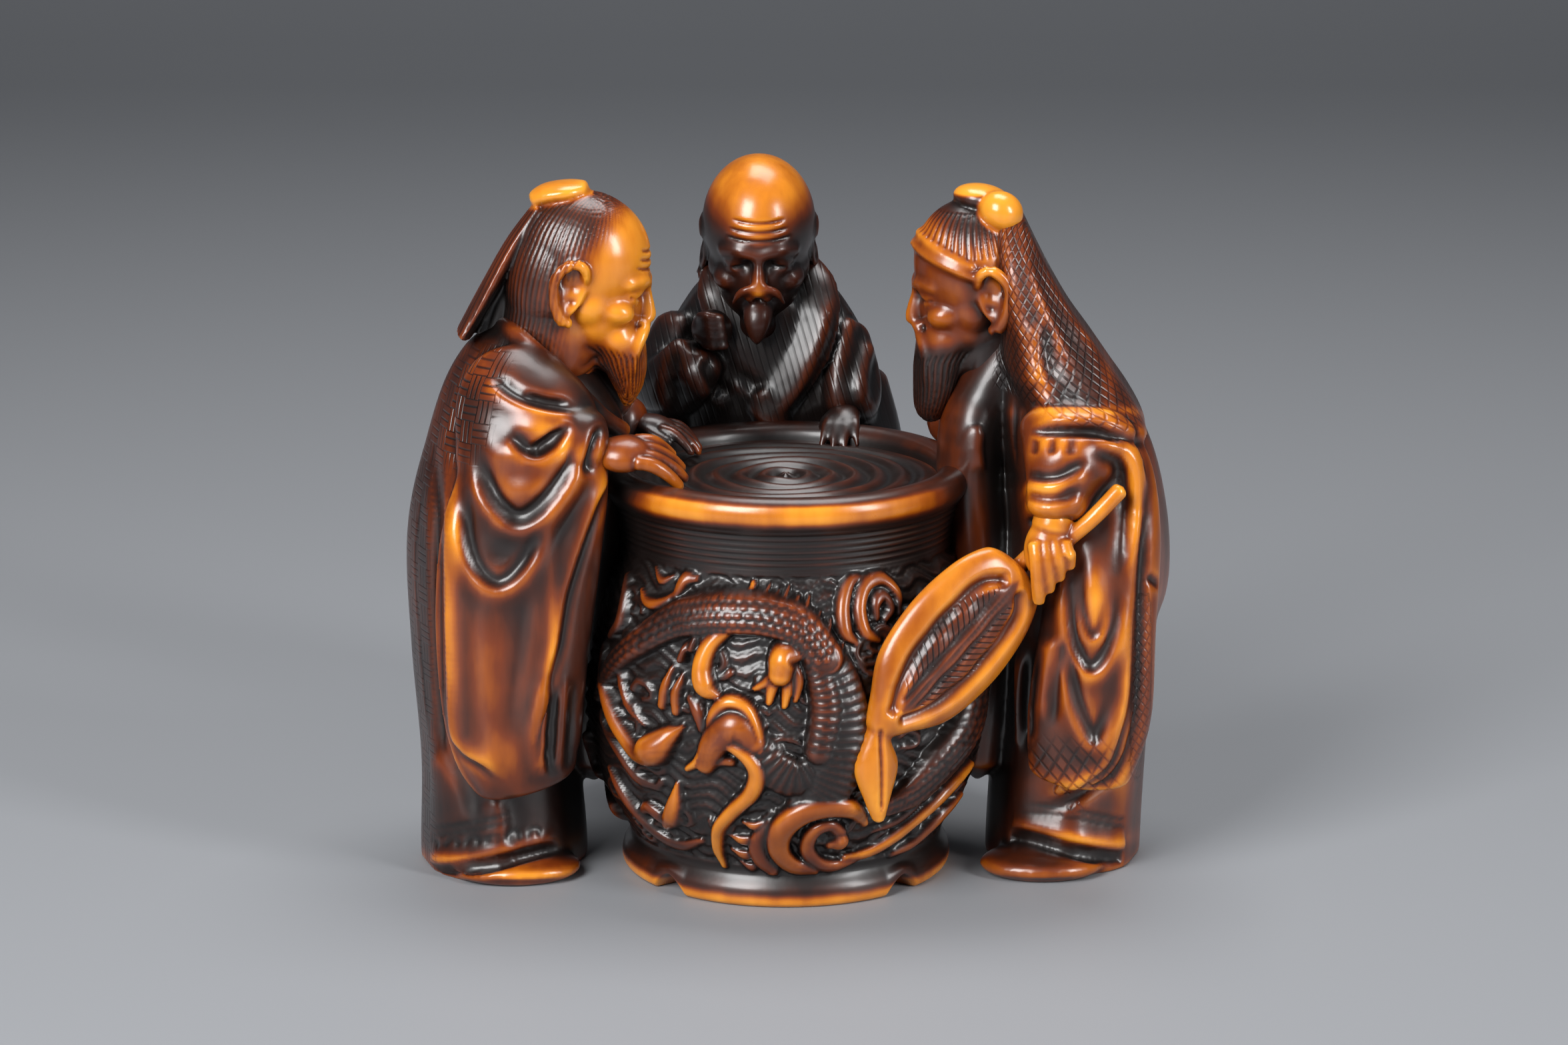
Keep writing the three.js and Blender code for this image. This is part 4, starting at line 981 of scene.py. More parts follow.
# The near arm down to its cuff, the sleeve that hangs below it, and the sleeve's upper edge
limb(cloth, [(0.4, -3.0, 25.4, 2.4, 1.5), (0.0, -4.6, 24.7, 3.1, 2.0), (-0.5, -5.7, 23.6, 2.5, 1.9),
             (-0.9, -6.4, 22.4, 1.9, 1.6), (-1.15, -6.8, 21.4, 1.65, 1.45),
             (-1.25, -7.0, 20.6, 1.5, 1.3)], foot=RIGHT_FOOT)
limb(cloth, [(1.2, -3.2, 25.2, 1.6, 1.0), (1.4, -4.4, 23.0, 2.6, 1.5), (1.6, -5.2, 19.5, 2.9, 1.7),
             (1.2, -5.8, 14.5, 3.1, 1.8), (0.8, -5.8, 9.6, 3.3, 1.7), (0.2, -5.5, 5.7, 2.6, 1.2)],
     sides=48, rows=56, foot=RIGHT_FOOT)
limb(cloth, [(1.0, -5.2, 25.0, 0.5), (2.4, -5.7, 24.0, 0.7), (2.9, -5.6, 20.5, 0.65),
             (2.7, -5.5, 16.8, 0.4)], foot=RIGHT_FOOT)
# The far sleeve and its forearm
limb(cloth, [(-0.3, 4.4, 26.2, 1.6, 1.2), (-0.5, 6.2, 24.4, 2.9, 1.7), (-1.2, 7.0, 22.0, 3.6, 2.0),
             (-0.8, 7.4, 15, 3.7, 1.9), (-1.2, 6.8, 8.6, 2.0, 1.0)], sides=40, rows=40,
     relief=flutes(5, 0.04), foot=RIGHT_FOOT)
limb(cloth, [(-1.6, 6.4, 24.0, 1.9, 1.9), (-5.4, 5.6, 23.4, 1.6, 1.5), (-7.4, 4.8, 23.2, 1.0, 1.2)],
     across=(0, 0, 1), foot=RIGHT_FOOT)
# The toe of a shoe, and the chest and front of the robe
ball(cloth, (-1.4, -2.8, 0.6), (3.4, 2.4, 0.9), foot=RIGHT_FOOT)
limb(cloth, [(-2.4, 0.9, 30.0, 0.9, 1.0), (-3.2, 0.9, 28.2, 1.7, 2.2), (-4.6, 0.6, 25.8, 1.8, 2.3),
             (-5.4, 0.4, 22.5, 1.8, 3.0), (-4.6, 0.8, 12, 1.9, 3.2), (-4.8, 0.8, 4.2, 1.3, 2.2)],
     foot=RIGHT_FOOT)
cut_off(cloth)
right_robe = kneaded(cloth, voxel=0.165, times=3)
print("right robe:", len(right_robe.vertices), "vertices")

# %% Right sage: folds
RIGHT_FOLDS = [
    ([(12.6, 26.0), (14.5, 26.05), (16.5, 25.95), (18.0, 25.5), (19.1, 24.8)], 0.3, -0.3),
    ([(12.3, 22.9), (13.4, 22.6), (14.6, 22.8), (16.0, 23.7)], 0.28, 0.28),
    ([(12.3, 21.8), (13.4, 21.5), (14.6, 21.6), (15.7, 22.3)], 0.26, 0.26),
    ([(15.8, 25.0), (17.4, 24.5), (18.15, 23.3), (18.25, 20.6), (18.0, 17.2)], 0.36, -0.34),
    ([(14.9, 19.4), (14.6, 17.0), (14.8, 14.6), (15.4, 12.9), (16.2, 12.4), (17.0, 13.2),
      (17.6, 15.0), (17.8, 17.2)], 0.27, 0.3),
    ([(15.3, 19.0), (15.2, 16.6), (15.6, 14.8), (16.2, 14.2), (16.8, 14.9), (17.1, 16.8)], 0.2, 0.16),
    ([(14.2, 15.0), (14.5, 13.0), (15.0, 10.8), (15.7, 9.1), (16.4, 8.5), (17.0, 9.3),
      (17.5, 11.6)], 0.3, 0.28),
    ([(14.1, 14.6), (13.8, 12.4), (13.6, 9.4)], 0.3, 0.25),
    ([(12.6, 14.0), (12.2, 10.4), (12.1, 7.4)], 0.3, 0.25),
    ([(18.1, 17.4), (18.05, 13.0), (17.9, 10.8), (17.4, 8.8), (16.9, 7.5), (15.9, 6.6), (14.8, 5.8),
      (13.3, 5.3)], 0.24, 0.24),
    ([(18.8, 2.7), (17.8, 2.5), (16.5, 2.7), (15, 3.1), (13, 3.6), (11.6, 3.8)], 0.26, 0.26),
    ([(12.9, 36.0), (13.6, 34.0), (14.5, 32.0), (15.9, 29.6), (17.2, 27.4)], 0.5, -0.14),
    ([(12.2, 35.0), (12.9, 32.6), (13.8, 30.2), (14.8, 27.8)], 0.5, 0.12),
    ([(13.3, 30.6), (13.3, 28.4), (13.6, 26.6)], 0.36, 0.22),
    ([(11.6, 27.6), (11.2, 25.6), (11.3, 23.4)], 0.3, 0.25),
    ([(10.4, 26.6), (10.1, 25.0), (10.3, 23.2)], 0.3, 0.22),
]
RIGHT_CUTS = [
    ([(12.4, 27.0), (14.5, 27.05), (16.5, 26.95), (18.2, 26.3)], 0.1, 0.12),
    ([(13.0, 25.2), (12.9, 24.3)], 0.2, 0.16),
    ([(13.9, 25.3), (13.8, 24.3)], 0.2, 0.18),
    ([(14.9, 25.3), (14.8, 24.2)], 0.22, 0.18),
    ([(12.5, 20.8), (13.7, 20.5), (15.3, 20.8)], 0.18, 0.3),
    ([(18.8, 24.2), (18.95, 21.0), (18.7, 17.4), (18.65, 12.0), (18.3, 8.6), (17.6, 6.9), (16.4, 5.9),
      (15.0, 5.1), (13.4, 4.6)], 0.28, 0.42),
    ([(12.4, 25.5), (14.5, 25.55), (16.4, 25.45), (18.0, 24.9)], 0.2, 0.3),
    ([(20.2, 17.0), (19.6, 17.3), (18.9, 17.8)], 0.2, 0.3),
    ([(12.9, 13.4), (12.8, 10.6), (12.9, 8.6)], 0.25, 0.3),
    ([(12.0, 4.5), (15.0, 4.3), (17.0, 3.8), (18.9, 3.5)], 0.1, 0.14),
    ([(12.0, 4.9), (15.0, 4.7), (17.0, 4.2), (18.9, 3.9)], 0.1, 0.14),
    ([(18.8, 1.7), (16.5, 1.9), (13, 2.8), (11.4, 2.9)], 0.2, 0.35),
    ([(10.8, 0.75), (13.4, 0.7), (16.0, 0.75)], 0.14, 0.12),
]
RIGHT_SWELLS = [(16.1, 16.9, 0.7, 2.0, 4, 0.34), (16.2, 10.9, 0.9, 1.4, 0, 0.12),
                (14.6, 24.4, 1.5, 0.7, 5, 0.15), (15.4, 7.0, 1.5, 0.9, 0, 0.2),
                (16.6, 20.6, 0.8, 1.4, 0, -0.2)]
print("right robe:", len(RIGHT_FOLDS), "folds,", len(RIGHT_CUTS), "cuts,", len(RIGHT_SWELLS),
      "swellings")

# %% Right sage: cutting the folds
# The hood lies further back than the sleeve, so its folds, which are those that start above a
# height of 30 mm, are drawn on a sheet of their own
HOOD_SHEET, HOOD_FROM = -2, 30
swell(right_robe, RIGHT_SWELLS, SHEET)
for line, width, height in RIGHT_FOLDS:
    sheet = SHEET if line[0][1] < HOOD_FROM else HOOD_SHEET
    fold(right_robe, line, width, height, sheet=sheet, ends=0.22)
cut_all(carve, right_robe, RIGHT_CUTS, sheet=SHEET, ends=0.2)
hang(right_robe, (RIGHT + 0.3, 1.3), folds=11, depth=0.2)
relax(right_robe, 2)
print("right robe:", len(right_robe.polygons), "faces")

# %% Right sage: head, knob, band and beard
right_place = pose((RIGHT - 5.0, 0.9, 31.8), heading=180, nod=10)
KNOB = (RIGHT - 3.9, -0.5, 36.0)
lump = bmesh.new()
head(lump, right_place, nape=0.33)
# The knob that gathers the hood, and the flat tuft in front of it
ball(lump, KNOB, (1.2, 1.15, 1.05), (0, 30, 0))
ball(lump, (-4.9, 0.8, 36.5), (1.55, 1.5, 0.75), (0, 8, 0), foot=RIGHT_FOOT)
# The head band is two rolls, one over the other, that slope down over the brow
for lift, out in ((0.0, 1.0), (0.055, 0.97)):
    ring = []
    for a in np.linspace(-1.6, 1.6, 13):
        level = 0.3 + lift - 0.2 * (1 - math.cos(a))
        wide = out * math.sqrt(1 - ((level - 0.12) / 0.38) ** 2)
        ring.append((0.02 + 0.345 * wide * math.cos(a), 0.335 * wide * math.sin(a), level, 0.024))
    limb(lump, [[c * HEAD for c in p] for p in ring], sides=12, rows=60, at=right_place)
# The beard, the neck, and both halves of the moustache
limb(lump, [(-4.8, 0.9, 31.0, 0.8, 0.8), (-6.4, 0.9, 29.4, 2.0, 1.6), (-7.0, 0.9, 27.8, 1.9, 1.45),
            (-7.3, 0.9, 26.2, 1.6, 1.2), (-7.5, 0.9, 24.9, 1.1, 0.9), (-7.6, 0.9, 24.2, 0.3, 0.3)],
     across=(0, 1, 0), foot=RIGHT_FOOT)
limb(lump, [(-3.9, 0.9, 31.4, 1.2), (-4.4, 0.9, 28.8, 1.9), (-4.8, 0.9, 26.4, 1.8)], foot=RIGHT_FOOT)
for side in (-1, 1):
    limb(lump, [(-8.2, 0.9 + side * 0.3, 29.3, 0.3), (-8.0, 0.9 + side * 1.0, 28.9, 0.36),
                (-7.8, 0.9 + side * 1.4, 27.9, 0.32), (-7.9, 0.9 + side * 1.4, 26.6, 0.12)],
         foot=RIGHT_FOOT)
right_head = kneaded(lump, voxel=0.1, times=3)
features(right_head, right_place, lines=0)
print("right head:", len(right_head.vertices), "vertices")

# %% Right sage: combing
skin = places(right_head)
x, y, z = (own(skin, right_place) / HEAD).T
fan_out = np.degrees(np.arctan2(y, -(x + 0.1)))
# Height above the lower roll of the head band, as a share of the head
band_level = z - 0.33 + 0.2 * (1 - np.clip((x - 0.02) / 0.3, 0, 1))
above_band = soft_step(band_level, 0.05, 0.08)
knob_gap = np.linalg.norm(skin - KNOB, axis=1)
hair = above_band * (skin[:, 2] < 35.9) * soft_step(knob_gap, 1.25, 1.45)
comb(right_head, fan_out / 8 + 4 * x, hair, 0.08)
comb_beard(right_head, right_place, 0.9,
           [(24.4, RIGHT - 7.5), (27.8, RIGHT - 6.9), (29.4, RIGHT - 6.2), (31, RIGHT - 4.6)])
print("hair covers", round(100 * float(hair.mean())), "percent of the right head")

# %% [markdown]
# The fan is a stiffened leaf: a rounded border, a grooved midrib, and on either side of it a
# sunken panel of fine ribs. Its tip is pinched and ends in a small leaf.

# %% Right sage: the fan
FAN_LENGTH = 11.5
FAN_WIDTH = 6.8
fan_place = (Matrix.Translation((4.7, -10.7, 10.5)) @ Matrix.Rotation(math.radians(26), 4, "Z")
             @ Matrix.Rotation(math.radians(-43), 4, "Y"))
lump = bmesh.new()
# The blade from its tip to its stem, then the small leaf past the tip, then the handle
limb(lump, [(-0.4, 0, 0, 0.5, 0.6), (1.0, 0, 0, 1.5, 0.9), (3.0, 0, 0, 2.9, 1.1),
            (6.0, 0, 0, FAN_WIDTH / 2, 1.2),
            (8.8, 0, 0, 3.1, 1.2), (10.6, 0, 0, 2.4, 1.0), (FAN_LENGTH, 0, 0, 1.5, 0.7)],
     across=(0, 0, 1), sides=48, rows=50, at=fan_place)
limb(lump, [(0.9, 0, 0.3, 0.5, 0.6), (-0.3, 0, -0.4, 0.75, 0.65), (-1.4, 0, -1.5, 1.25, 0.75),
            (-2.6, 0, -2.9, 0.7, 0.6), (-3.4, 0, -3.9, 0.25, 0.35)], across=(0, 0, 1), at=fan_place)
limb(lump, [(FAN_LENGTH - 1.2, 0.2, 0, 0.45), (FAN_LENGTH + 2.6, 0.5, -0.6, 0.5)], at=fan_place)
fan = kneaded(lump, voxel=0.1, times=2)
print("fan:", len(fan.vertices), "vertices")

# %% Right sage: the fan's panels and midrib
BORDER = [(0.8, -1.0, 0.2), (2.4, -1.0, 1.15), (4.4, -1.1, 1.75), (7.0, -1.1, 1.85), (9.3, -1.0, 1.5),
          (10.4, -1.0, 0.4)]
for side in (1, -1):
    # The step inside the border, the edge of the midrib, and the sunken panel between them
    carve(fan, [(x, y, side * z) for x, y, z in BORDER], 0.32, 0.5, turned=fan_place, ends=0.06)
    carve(fan, [(1.6, -0.9, side * 0.4), (5, -1.2, side * 0.5), (10, -1.0, side * 0.4)], 0.16, 0.2,
          turned=fan_place)
    for x, z in ((4.2, 1.05), (6.4, 1.2), (8.4, 1.05)):
        press(fan, (x, -1.2, side * z), 0.9, 0.22, fan_place)
carve(fan, [(1.4, -0.9, 0), (5, -1.2, 0), (10.4, -1.0, 0)], 0.12, 0.12, turned=fan_place)
relax(fan, 2)
carve(fan, [(0.2, -0.6, 0.3), (-1.4, -0.7, -1.5), (-3.0, -0.5, -3.4)], 0.14, 0.18, turned=fan_place)
print("fan:", FAN_LENGTH, "mm long and", FAN_WIDTH, "mm wide")

# %% Right sage: the hand on the fan's handle
lump = bmesh.new()
ball(lump, (13.75, -7.15, 19.3), (1.3, 1.0, 1.8), (0, 8, 0))
limb(lump, [(14.1, -6.9, 21.4, 1.0), (13.8, -7.1, 20.0, 1.1)])
# Four fingers close round the handle, and the handle runs up behind them
for i in range(4):
    x, low = 13.0 + 0.52 * i, 16.1 + 0.62 * i
    limb(lump, [(x - 0.05, -7.7, 19.9, 0.4), (x + 0.1, -8.1, 18.9 + 0.1 * i, 0.42),
                (x + 0.2, -8.05, low + 1.2, 0.39),
                (x + 0.25, -7.7, low + 0.3, 0.31)], sides=16, rows=16)
limb(lump, [(14.3, -7.2, 19.4, 0.42), (16.0, -7.5, 21.0, 0.44), (17.6, -7.1, 22.6, 0.46)], sides=20)
right_hand = kneaded(lump, voxel=0.1, times=2)
print("right hand:", len(right_hand.vertices), "vertices")

# %% [markdown]
# ## The sage behind
# They stand behind the jar with a fist raised to the chin and the other hand on the rim. Two
# channels in the back, joined inside, let the cord through. The remesh keeps them open because a
# boolean cuts them after the weld.

# %% Rear sage: masses
BEHIND_X, BEHIND_Y = -1.2, 14.4
REAR_FOOT = (BEHIND_X, BEHIND_Y, 0)
cloth = bmesh.new()
# The body, and the two edges of the robe that cross on the chest
limb(cloth, [(0, 0.2, -3, 6.0, 4.7), (0, 0.2, 1, 6.0, 4.7), (0, 0.2, 8, 5.8, 4.5),
             (0, 0.2, 16, 6.2, 4.6), (0, 0, 21, 6.4, 4.7), (0, -0.8, 25.8, 5.8, 4.2),
             (0, -1.2, 29.2, 4.0, 3.4), (0, -1.4, 31.0, 2.2, 2.4)], sides=64, rows=60,
     relief=flutes(9, 0.02), foot=REAR_FOOT)
limb(cloth, [(1.7, -1.0, 31.2, 0.9, 0.5), (2.9, -3.2, 29.4, 1.3, 0.6),
             (2.4, -4.5, 26.4, 1.3, 0.6), (-0.2, -4.9, 22.0, 1.2, 0.6)], foot=REAR_FOOT)
limb(cloth, [(-1.9, -1.0, 31.2, 0.9, 0.5), (-2.6, -3.2, 29.6, 1.2, 0.6),
             (-1.6, -4.2, 27.0, 1.2, 0.6), (1.0, -4.6, 23.6, 1.1, 0.6)], foot=REAR_FOOT)
# The raised arm, the arm that rests on the rim, and a sleeve on each side
limb(cloth, [(-4.0, -1.2, 27.6, 1.9, 1.9), (-5.4, -3.4, 24.4, 2.1, 2.0), (-4.3, -5.0, 25.2, 1.8, 1.6),
             (-3.4, -5.0, 26.8, 1.5, 1.4)], foot=REAR_FOOT)
limb(cloth, [(3.8, -1.4, 27.2, 1.9, 2.0), (4.8, -3.2, 24.0, 1.8, 1.9), (4.6, -4.6, 22.6, 1.5, 1.5)],
     foot=REAR_FOOT)
for side in (-1, 1):
    limb(cloth, [(side * 5.0, -0.6, 24.6, 1.7, 2.6), (side * 6.0, -0.8, 18, 1.9, 3.0),
                 (side * 5.4, -0.4, 9, 0.9, 1.4)], relief=flutes(4, 0.06), rows=40, sides=40,
         foot=REAR_FOOT)
cut_off(cloth)
rear_robe = kneaded(cloth, voxel=0.19, times=3)
print("rear robe:", len(rear_robe.vertices), "vertices")

# %% Rear sage: folds
# Their sheet stands 8 mm behind the jar's middle, just in front of the chest
REAR_SHEET = 8
REAR_FOLDS = [
    ([(3.9, 30.0), (3.3, 27.4), (2.8, 24.8), (3.2, 22.6)], 0.5, 0.3),
    ([(4.9, 27.6), (4.3, 25.6), (4.3, 23.4)], 0.4, 0.25),
    ([(2.6, 30.2), (2.1, 27.6), (0.9, 24.8), (-0.6, 22.8)], 0.3, 0.25),
    ([(-5.6, 29.2), (-5.9, 26.8), (-5.4, 24.6)], 0.5, 0.3),
    ([(-4.4, 27.0), (-4.9, 25.6), (-4.2, 24.2), (-2.9, 24.0)], 0.35, 0.3),
    ([(-6.6, 27.4), (-6.9, 25.0), (-6.6, 23.0)], 0.4, 0.25),
    ([(-3.0, 25.2), (-1.8, 24.3), (-0.8, 24.7)], 0.3, 0.25),
]
cut_all(fold, rear_robe, REAR_FOLDS, sheet=REAR_SHEET, ends=0.2)
SASH = (16.4, 18.4)
hang(rear_robe, (BEHIND_X, BEHIND_Y), folds=13, depth=0.24, sash=SASH)
relax(rear_robe, 2)
print("rear robe:", len(REAR_FOLDS), "folds, sash", SASH[1] - SASH[0], "mm wide")

# %% Rear sage: the channel for the cord
# A limb's faces may point inwards. The weld doesn't mind, but a drill has to face outwards, or
# the boolean cuts nothing.
channel = bmesh.new()
limb(channel, [(-3.9, 7.6, 13.8, 1.15), (-2.9, 4.4, 13.4, 1.1), (0, 2.6, 13.2, 1.05),
               (2.9, 4.4, 13.4, 1.1), (3.9, 7.6, 13.8, 1.15)], across=(0, 0, 1), sides=48, rows=60,
     foot=REAR_FOOT)
bmesh.ops.reverse_faces(channel, faces=channel.faces)
drill, body = placed("drill", as_mesh(channel, "drill")), placed("body", rear_robe)
bore = body.modifiers.new("bore", "BOOLEAN")
bore.operation, bore.object, bore.solver = "DIFFERENCE", drill, "EXACT"
seen = body.evaluated_get(bpy.context.evaluated_depsgraph_get())
rear_robe = bpy.data.meshes.new_from_object(seen)
for spent in (drill, body):
    bpy.data.objects.remove(spent)
print("rear robe with its channel:", len(rear_robe.vertices), "vertices")

# %% Rear sage: head and hands
REAR_HEAD = HEAD * 1.05
rear_place = pose((BEHIND_X - 0.3, BEHIND_Y - 2.9, 32.1), heading=-90, nod=12)
lump = bmesh.new()
head(lump, rear_place, REAR_HEAD, ear=0.065)
# The neck, the pointed beard and both halves of the moustache
limb(lump, [(-0.2, -2.0, 31.0, 2.2), (-0.1, -1.8, 27.6, 2.2)], foot=REAR_FOOT)
limb(lump, [(-0.3, -4.8, 29.4, 0.8), (-0.35, -5.9, 28.5, 0.85, 0.6), (-0.4, -6.1, 27.6, 0.6, 0.45),
            (-0.4, -6.1, 26.9, 0.15)], foot=REAR_FOOT)
for side in (-1, 1):
    limb(lump, [(-0.3 + side * 0.3, -6.75, 30.3, 0.22), (-0.3 + side * 1.0, -6.6, 30.0, 0.26),
                (-0.3 + side * 1.5, -6.2, 29.2, 0.12)], foot=REAR_FOOT)
# The fist at the chin with its four fingers, and the hand on the rim
ball(lump, (-2.9, -5.3, 27.7), (1.2, 0.95, 1.15), (0, 15, 0), foot=REAR_FOOT)
for i in range(4):
    limb(lump, [(-3.8 + 0.1 * i, -5.7, 28.55 - 0.55 * i, 0.28),
                (-3.0 + 0.1 * i, -6.25, 28.6 - 0.56 * i, 0.33),
                (-2.1 + 0.08 * i, -6.0, 28.45 - 0.52 * i, 0.26)], sides=14, rows=10, foot=REAR_FOOT)
rim_hand = pose((BEHIND_X + 4.6, BEHIND_Y - 4.2, 22.9), heading=-98, nod=8)
hand(lump, rim_hand, length=4.0, curl=0.4, thumb=-1, thick=1.2)
rear_head = kneaded(lump, voxel=0.1, times=3)
features(rear_head, rear_place, REAR_HEAD)
print("rear head:", len(rear_head.vertices), "vertices")

# %% [markdown]
# ## Stain, polish and painted shade
# The whole carving was dipped in a dark stain and rubbed back. Stain stays where the cloth can't
# reach, so it follows how hollow the skin is over a few tenths of a millimetre, and where the
# polisher chose to leave it, as on the jar's ground and the hair. A third measure, how shut in a
# place is (short rays that meet other parts), darkens the carving between and under its parts,
# where shade falls: painted shade, laid over the stain that gathers there too. A few dabs are
# painted shade as well, and the front of the jar's lip is painted light. The result is one number
# per vertex, 0 bare to 1 dark.

# %% The pieces, and a rough cast of them all
SKINS = {"jar_with_dragon": jar, "vinegar": vinegar, "left_robe": left_robe, "left_head": left_head,
         "left_hands": left_hands, "right_robe": right_robe, "right_head": right_head,
         "right_hand": right_hand, "leaf_fan": fan, "rear_robe": rear_robe, "rear_head": rear_head}
whole = bmesh.new()
for mesh in SKINS.values():
    whole.from_mesh(mesh)
rough = kneaded(whole, voxel=0.45, times=0)
rough_places, rough_out = places(rough), normals(rough)
shade = BVHTree.FromPolygons([tuple(p) for p in rough_places],
                             [tuple(p.vertices) for p in rough.polygons])
print("rough cast:", len(rough_places), "vertices for", len(SKINS), "pieces")

# %% How shut in each place is, which lays the painted shade
# Rays in mm: how far they reach, how far off the skin they start, and the least rise above it
REACH, START_OFF, LEAST_LEAN = 5.0, 0.12, 0.12
golden = math.pi * (3 - math.sqrt(5))
RAYS = []
for i, z in enumerate(np.linspace(0.97, -0.97, 26)):
    wide = math.sqrt(1 - z * z)
    RAYS.append(Vector((wide * math.cos(golden * i), wide * math.sin(golden * i), z)))
shut_in = np.zeros(len(rough_places))
for i, (spot, out) in enumerate(zip(rough_places, rough_out)):
    out = Vector(out)
    start = Vector(spot) + out * START_OFF
    total = 0.0
    for ray in RAYS:
        lean = ray.dot(out)
        if lean > LEAST_LEAN:
            gap = shade.ray_cast(start, ray, REACH)[3]
            total += lean
            if gap is not None:
                shut_in[i] += lean * (1 - gap / REACH) ** 0.5
    shut_in[i] /= total
lookup = KDTree(len(rough_places))
for i, spot in enumerate(rough_places):
    lookup.insert(spot, i)
lookup.balance()
print("rays:", len(RAYS), "mean shut in:", round(float(shut_in.mean()), 3))
bpy.data.meshes.remove(rough)


# %% Hollows, and dabs of stain, painted shade and polish
def hollows(mesh, times, depth):
    """How far a smoothed skin lies above the skin: 1 in a hollow of this depth, -1 on a ridge."""
    mean, skin = neighbours_mean(mesh), places(mesh)
    smooth = skin.copy()
    for _ in range(times):
        smooth += 0.6 * (mean(smooth) - smooth)
    return np.clip(((smooth - skin) * normals(mesh)).sum(1) / depth, -1, 1)


def probed(mesh):
    """The shut-in measure at each vertex, from the nearest place probed."""
    value = shut_in[[lookup.find(spot)[1] for spot in places(mesh)]][:, None]
    mean = neighbours_mean(mesh)
    for _ in range(4):
        value = mean(value)
    return value[:, 0]


def dabs(mesh, table, sheet):
    """Dabs of stain and painted shade (above 0), and of polish (below 0): x, z, half width, half
    height, amount.
    """
    points, out = drawn(places(mesh), sheet), normals(mesh)
    front = np.clip(-out[:, 1] * 3 + 0.6, 0, 1)
    total = np.zeros(len(points))
    for x, z, wide, high, amount in table:
        gap = ((points[:, 0] - x) / wide) ** 2 + ((points[:, 2] - z) / high) ** 2
        total += amount * np.exp(-gap)
    return total * front


def ear_part(x, y, z):
    """1 on the ears of a head and 0 away from them, from places as shares of its height."""
    return np.exp(-(((x + 0.06) / 0.1) ** 2 + ((z + 0.03) / 0.17) ** 2)) * (np.abs(y) > 0.29)


print("an ear's middle counts as", round(float(ear_part(-0.06, 0.3, -0.03)), 2))

# %% The polisher's choices on the near robes, with some painted shade
# The stain dab at (-9.8, 26.6), on the robe under the beard, is painted shade over the stain
LEFT_DABS = [(-15.2, 12.0, 2.2, 5.5, -0.16), (-13.0, 26.0, 1.5, 1.0, -0.3),
             (-11.4, 24.6, 0.9, 0.8, -0.25), (-13.6, 22.8, 1.6, 0.8, -0.12),
             (-17.6, 16, 0.45, 7.5, -0.28), (-17.2, 21, 0.3, 3.5, -0.2),
             (-12.3, 14.6, 0.35, 5.5, -0.3), (-9.6, 22.8, 0.5, 2.4, -0.3),
             (-15.6, 7.6, 2.0, 1.3, -0.2), (-14.4, 19.4, 1.2, 1.0, 0.12), (-12, 9, 0.8, 3.2, 0.3),
             (-19.3, 15, 0.4, 7, -0.06), (-12.4, 29.2, 3.0, 0.9, 0.12),
             (-15.8, 29.0, 1.5, 1.3, -0.14), (-16.0, 4.2, 4.0, 1.9, 0.2),
             (-18.9, 14.0, 0.7, 9.0, 0.12), (-9.8, 26.6, 1.0, 2.6, 0.3),
             (-14.6, 23.2, 1.2, 1.6, -0.1), (-16.5, 1.9, 3.4, 0.4, -0.3),
             (-13.8, 1.1, 2.4, 0.3, -0.3), (-18.6, 27, 0.8, 2.5, -0.1), (-16.0, 27.0, 1.3, 1.8, 0.08)]
# The stain dabs at (12.8, 11), in the gap between the sleeve and the jar, and at (10.6, 26.0), on the
# chest under the beard, are painted shade over the stain
RIGHT_DABS = [(16.4, 16.4, 0.7, 2.4, -0.34), (16.2, 10.4, 1.0, 2.0, -0.14),
              (18.0, 10.5, 0.45, 6.0, -0.3), (17.9, 21.4, 0.8, 3.4, -0.3),
              (14.0, 25.0, 1.4, 0.8, -0.22), (13.4, 22.2, 1.4, 0.7, -0.3),
              (15.6, 26.7, 3.4, 0.32, -0.5), (13.5, 28.2, 0.5, 1.8, -0.3),
              (15.4, 6.1, 2.2, 0.8, -0.3), (15.4, 2.9, 3.6, 0.45, -0.3), (19.8, 12, 0.5, 6, -0.25),
              (12.8, 11, 0.9, 4.0, 0.15), (14.4, 11, 0.4, 3, -0.15), (19.4, 20.0, 0.5, 2.6, -0.12),
              (13.6, 1.8, 2.4, 0.4, 0.1), (10.6, 26.0, 1.5, 3.4, 0.3), (16.8, 30.5, 0.4, 5.5, -0.2)]
print("dabs:", len(LEFT_DABS), "left,", len(RIGHT_DABS), "right")

# %% The polisher's choices on the jar, and painted light on its lip
x, y, jar_z = places(jar).T
up = normals(jar)[:, 2]
rim = soft_step(jar_z, 20.7, 21.3)
# The lip is rubbed bare, and its front, which faces the lamps, is painted lightest, fading towards the
# sides: polish with painted light over it
lip_front = (soft_step(np.hypot(x, y), 9.1, 9.5) * soft_step(-y, 3.5, 9.3)
             * (0.86 + 0.14 * np.sin(0.9 * x + 0.6))
             * soft_step(up, -0.75, -0.3) * (1 - soft_step(up, 0.45, 0.85)))
foot_part = 1 - soft_step(jar_z, 1.6, 2.2)
foot_edge = soft_step(-jar_z, -0.9, -0.5)
jar_stain_and_light = 0.92 - 0.48 * jar_polish - rim * (0.64 * lip_front + 0.1)
jar_stain_and_light -= 0.1 * foot_part + 0.4 * foot_edge
print("jar, mean polish of the relief:", round(float(jar_polish.mean()), 3))

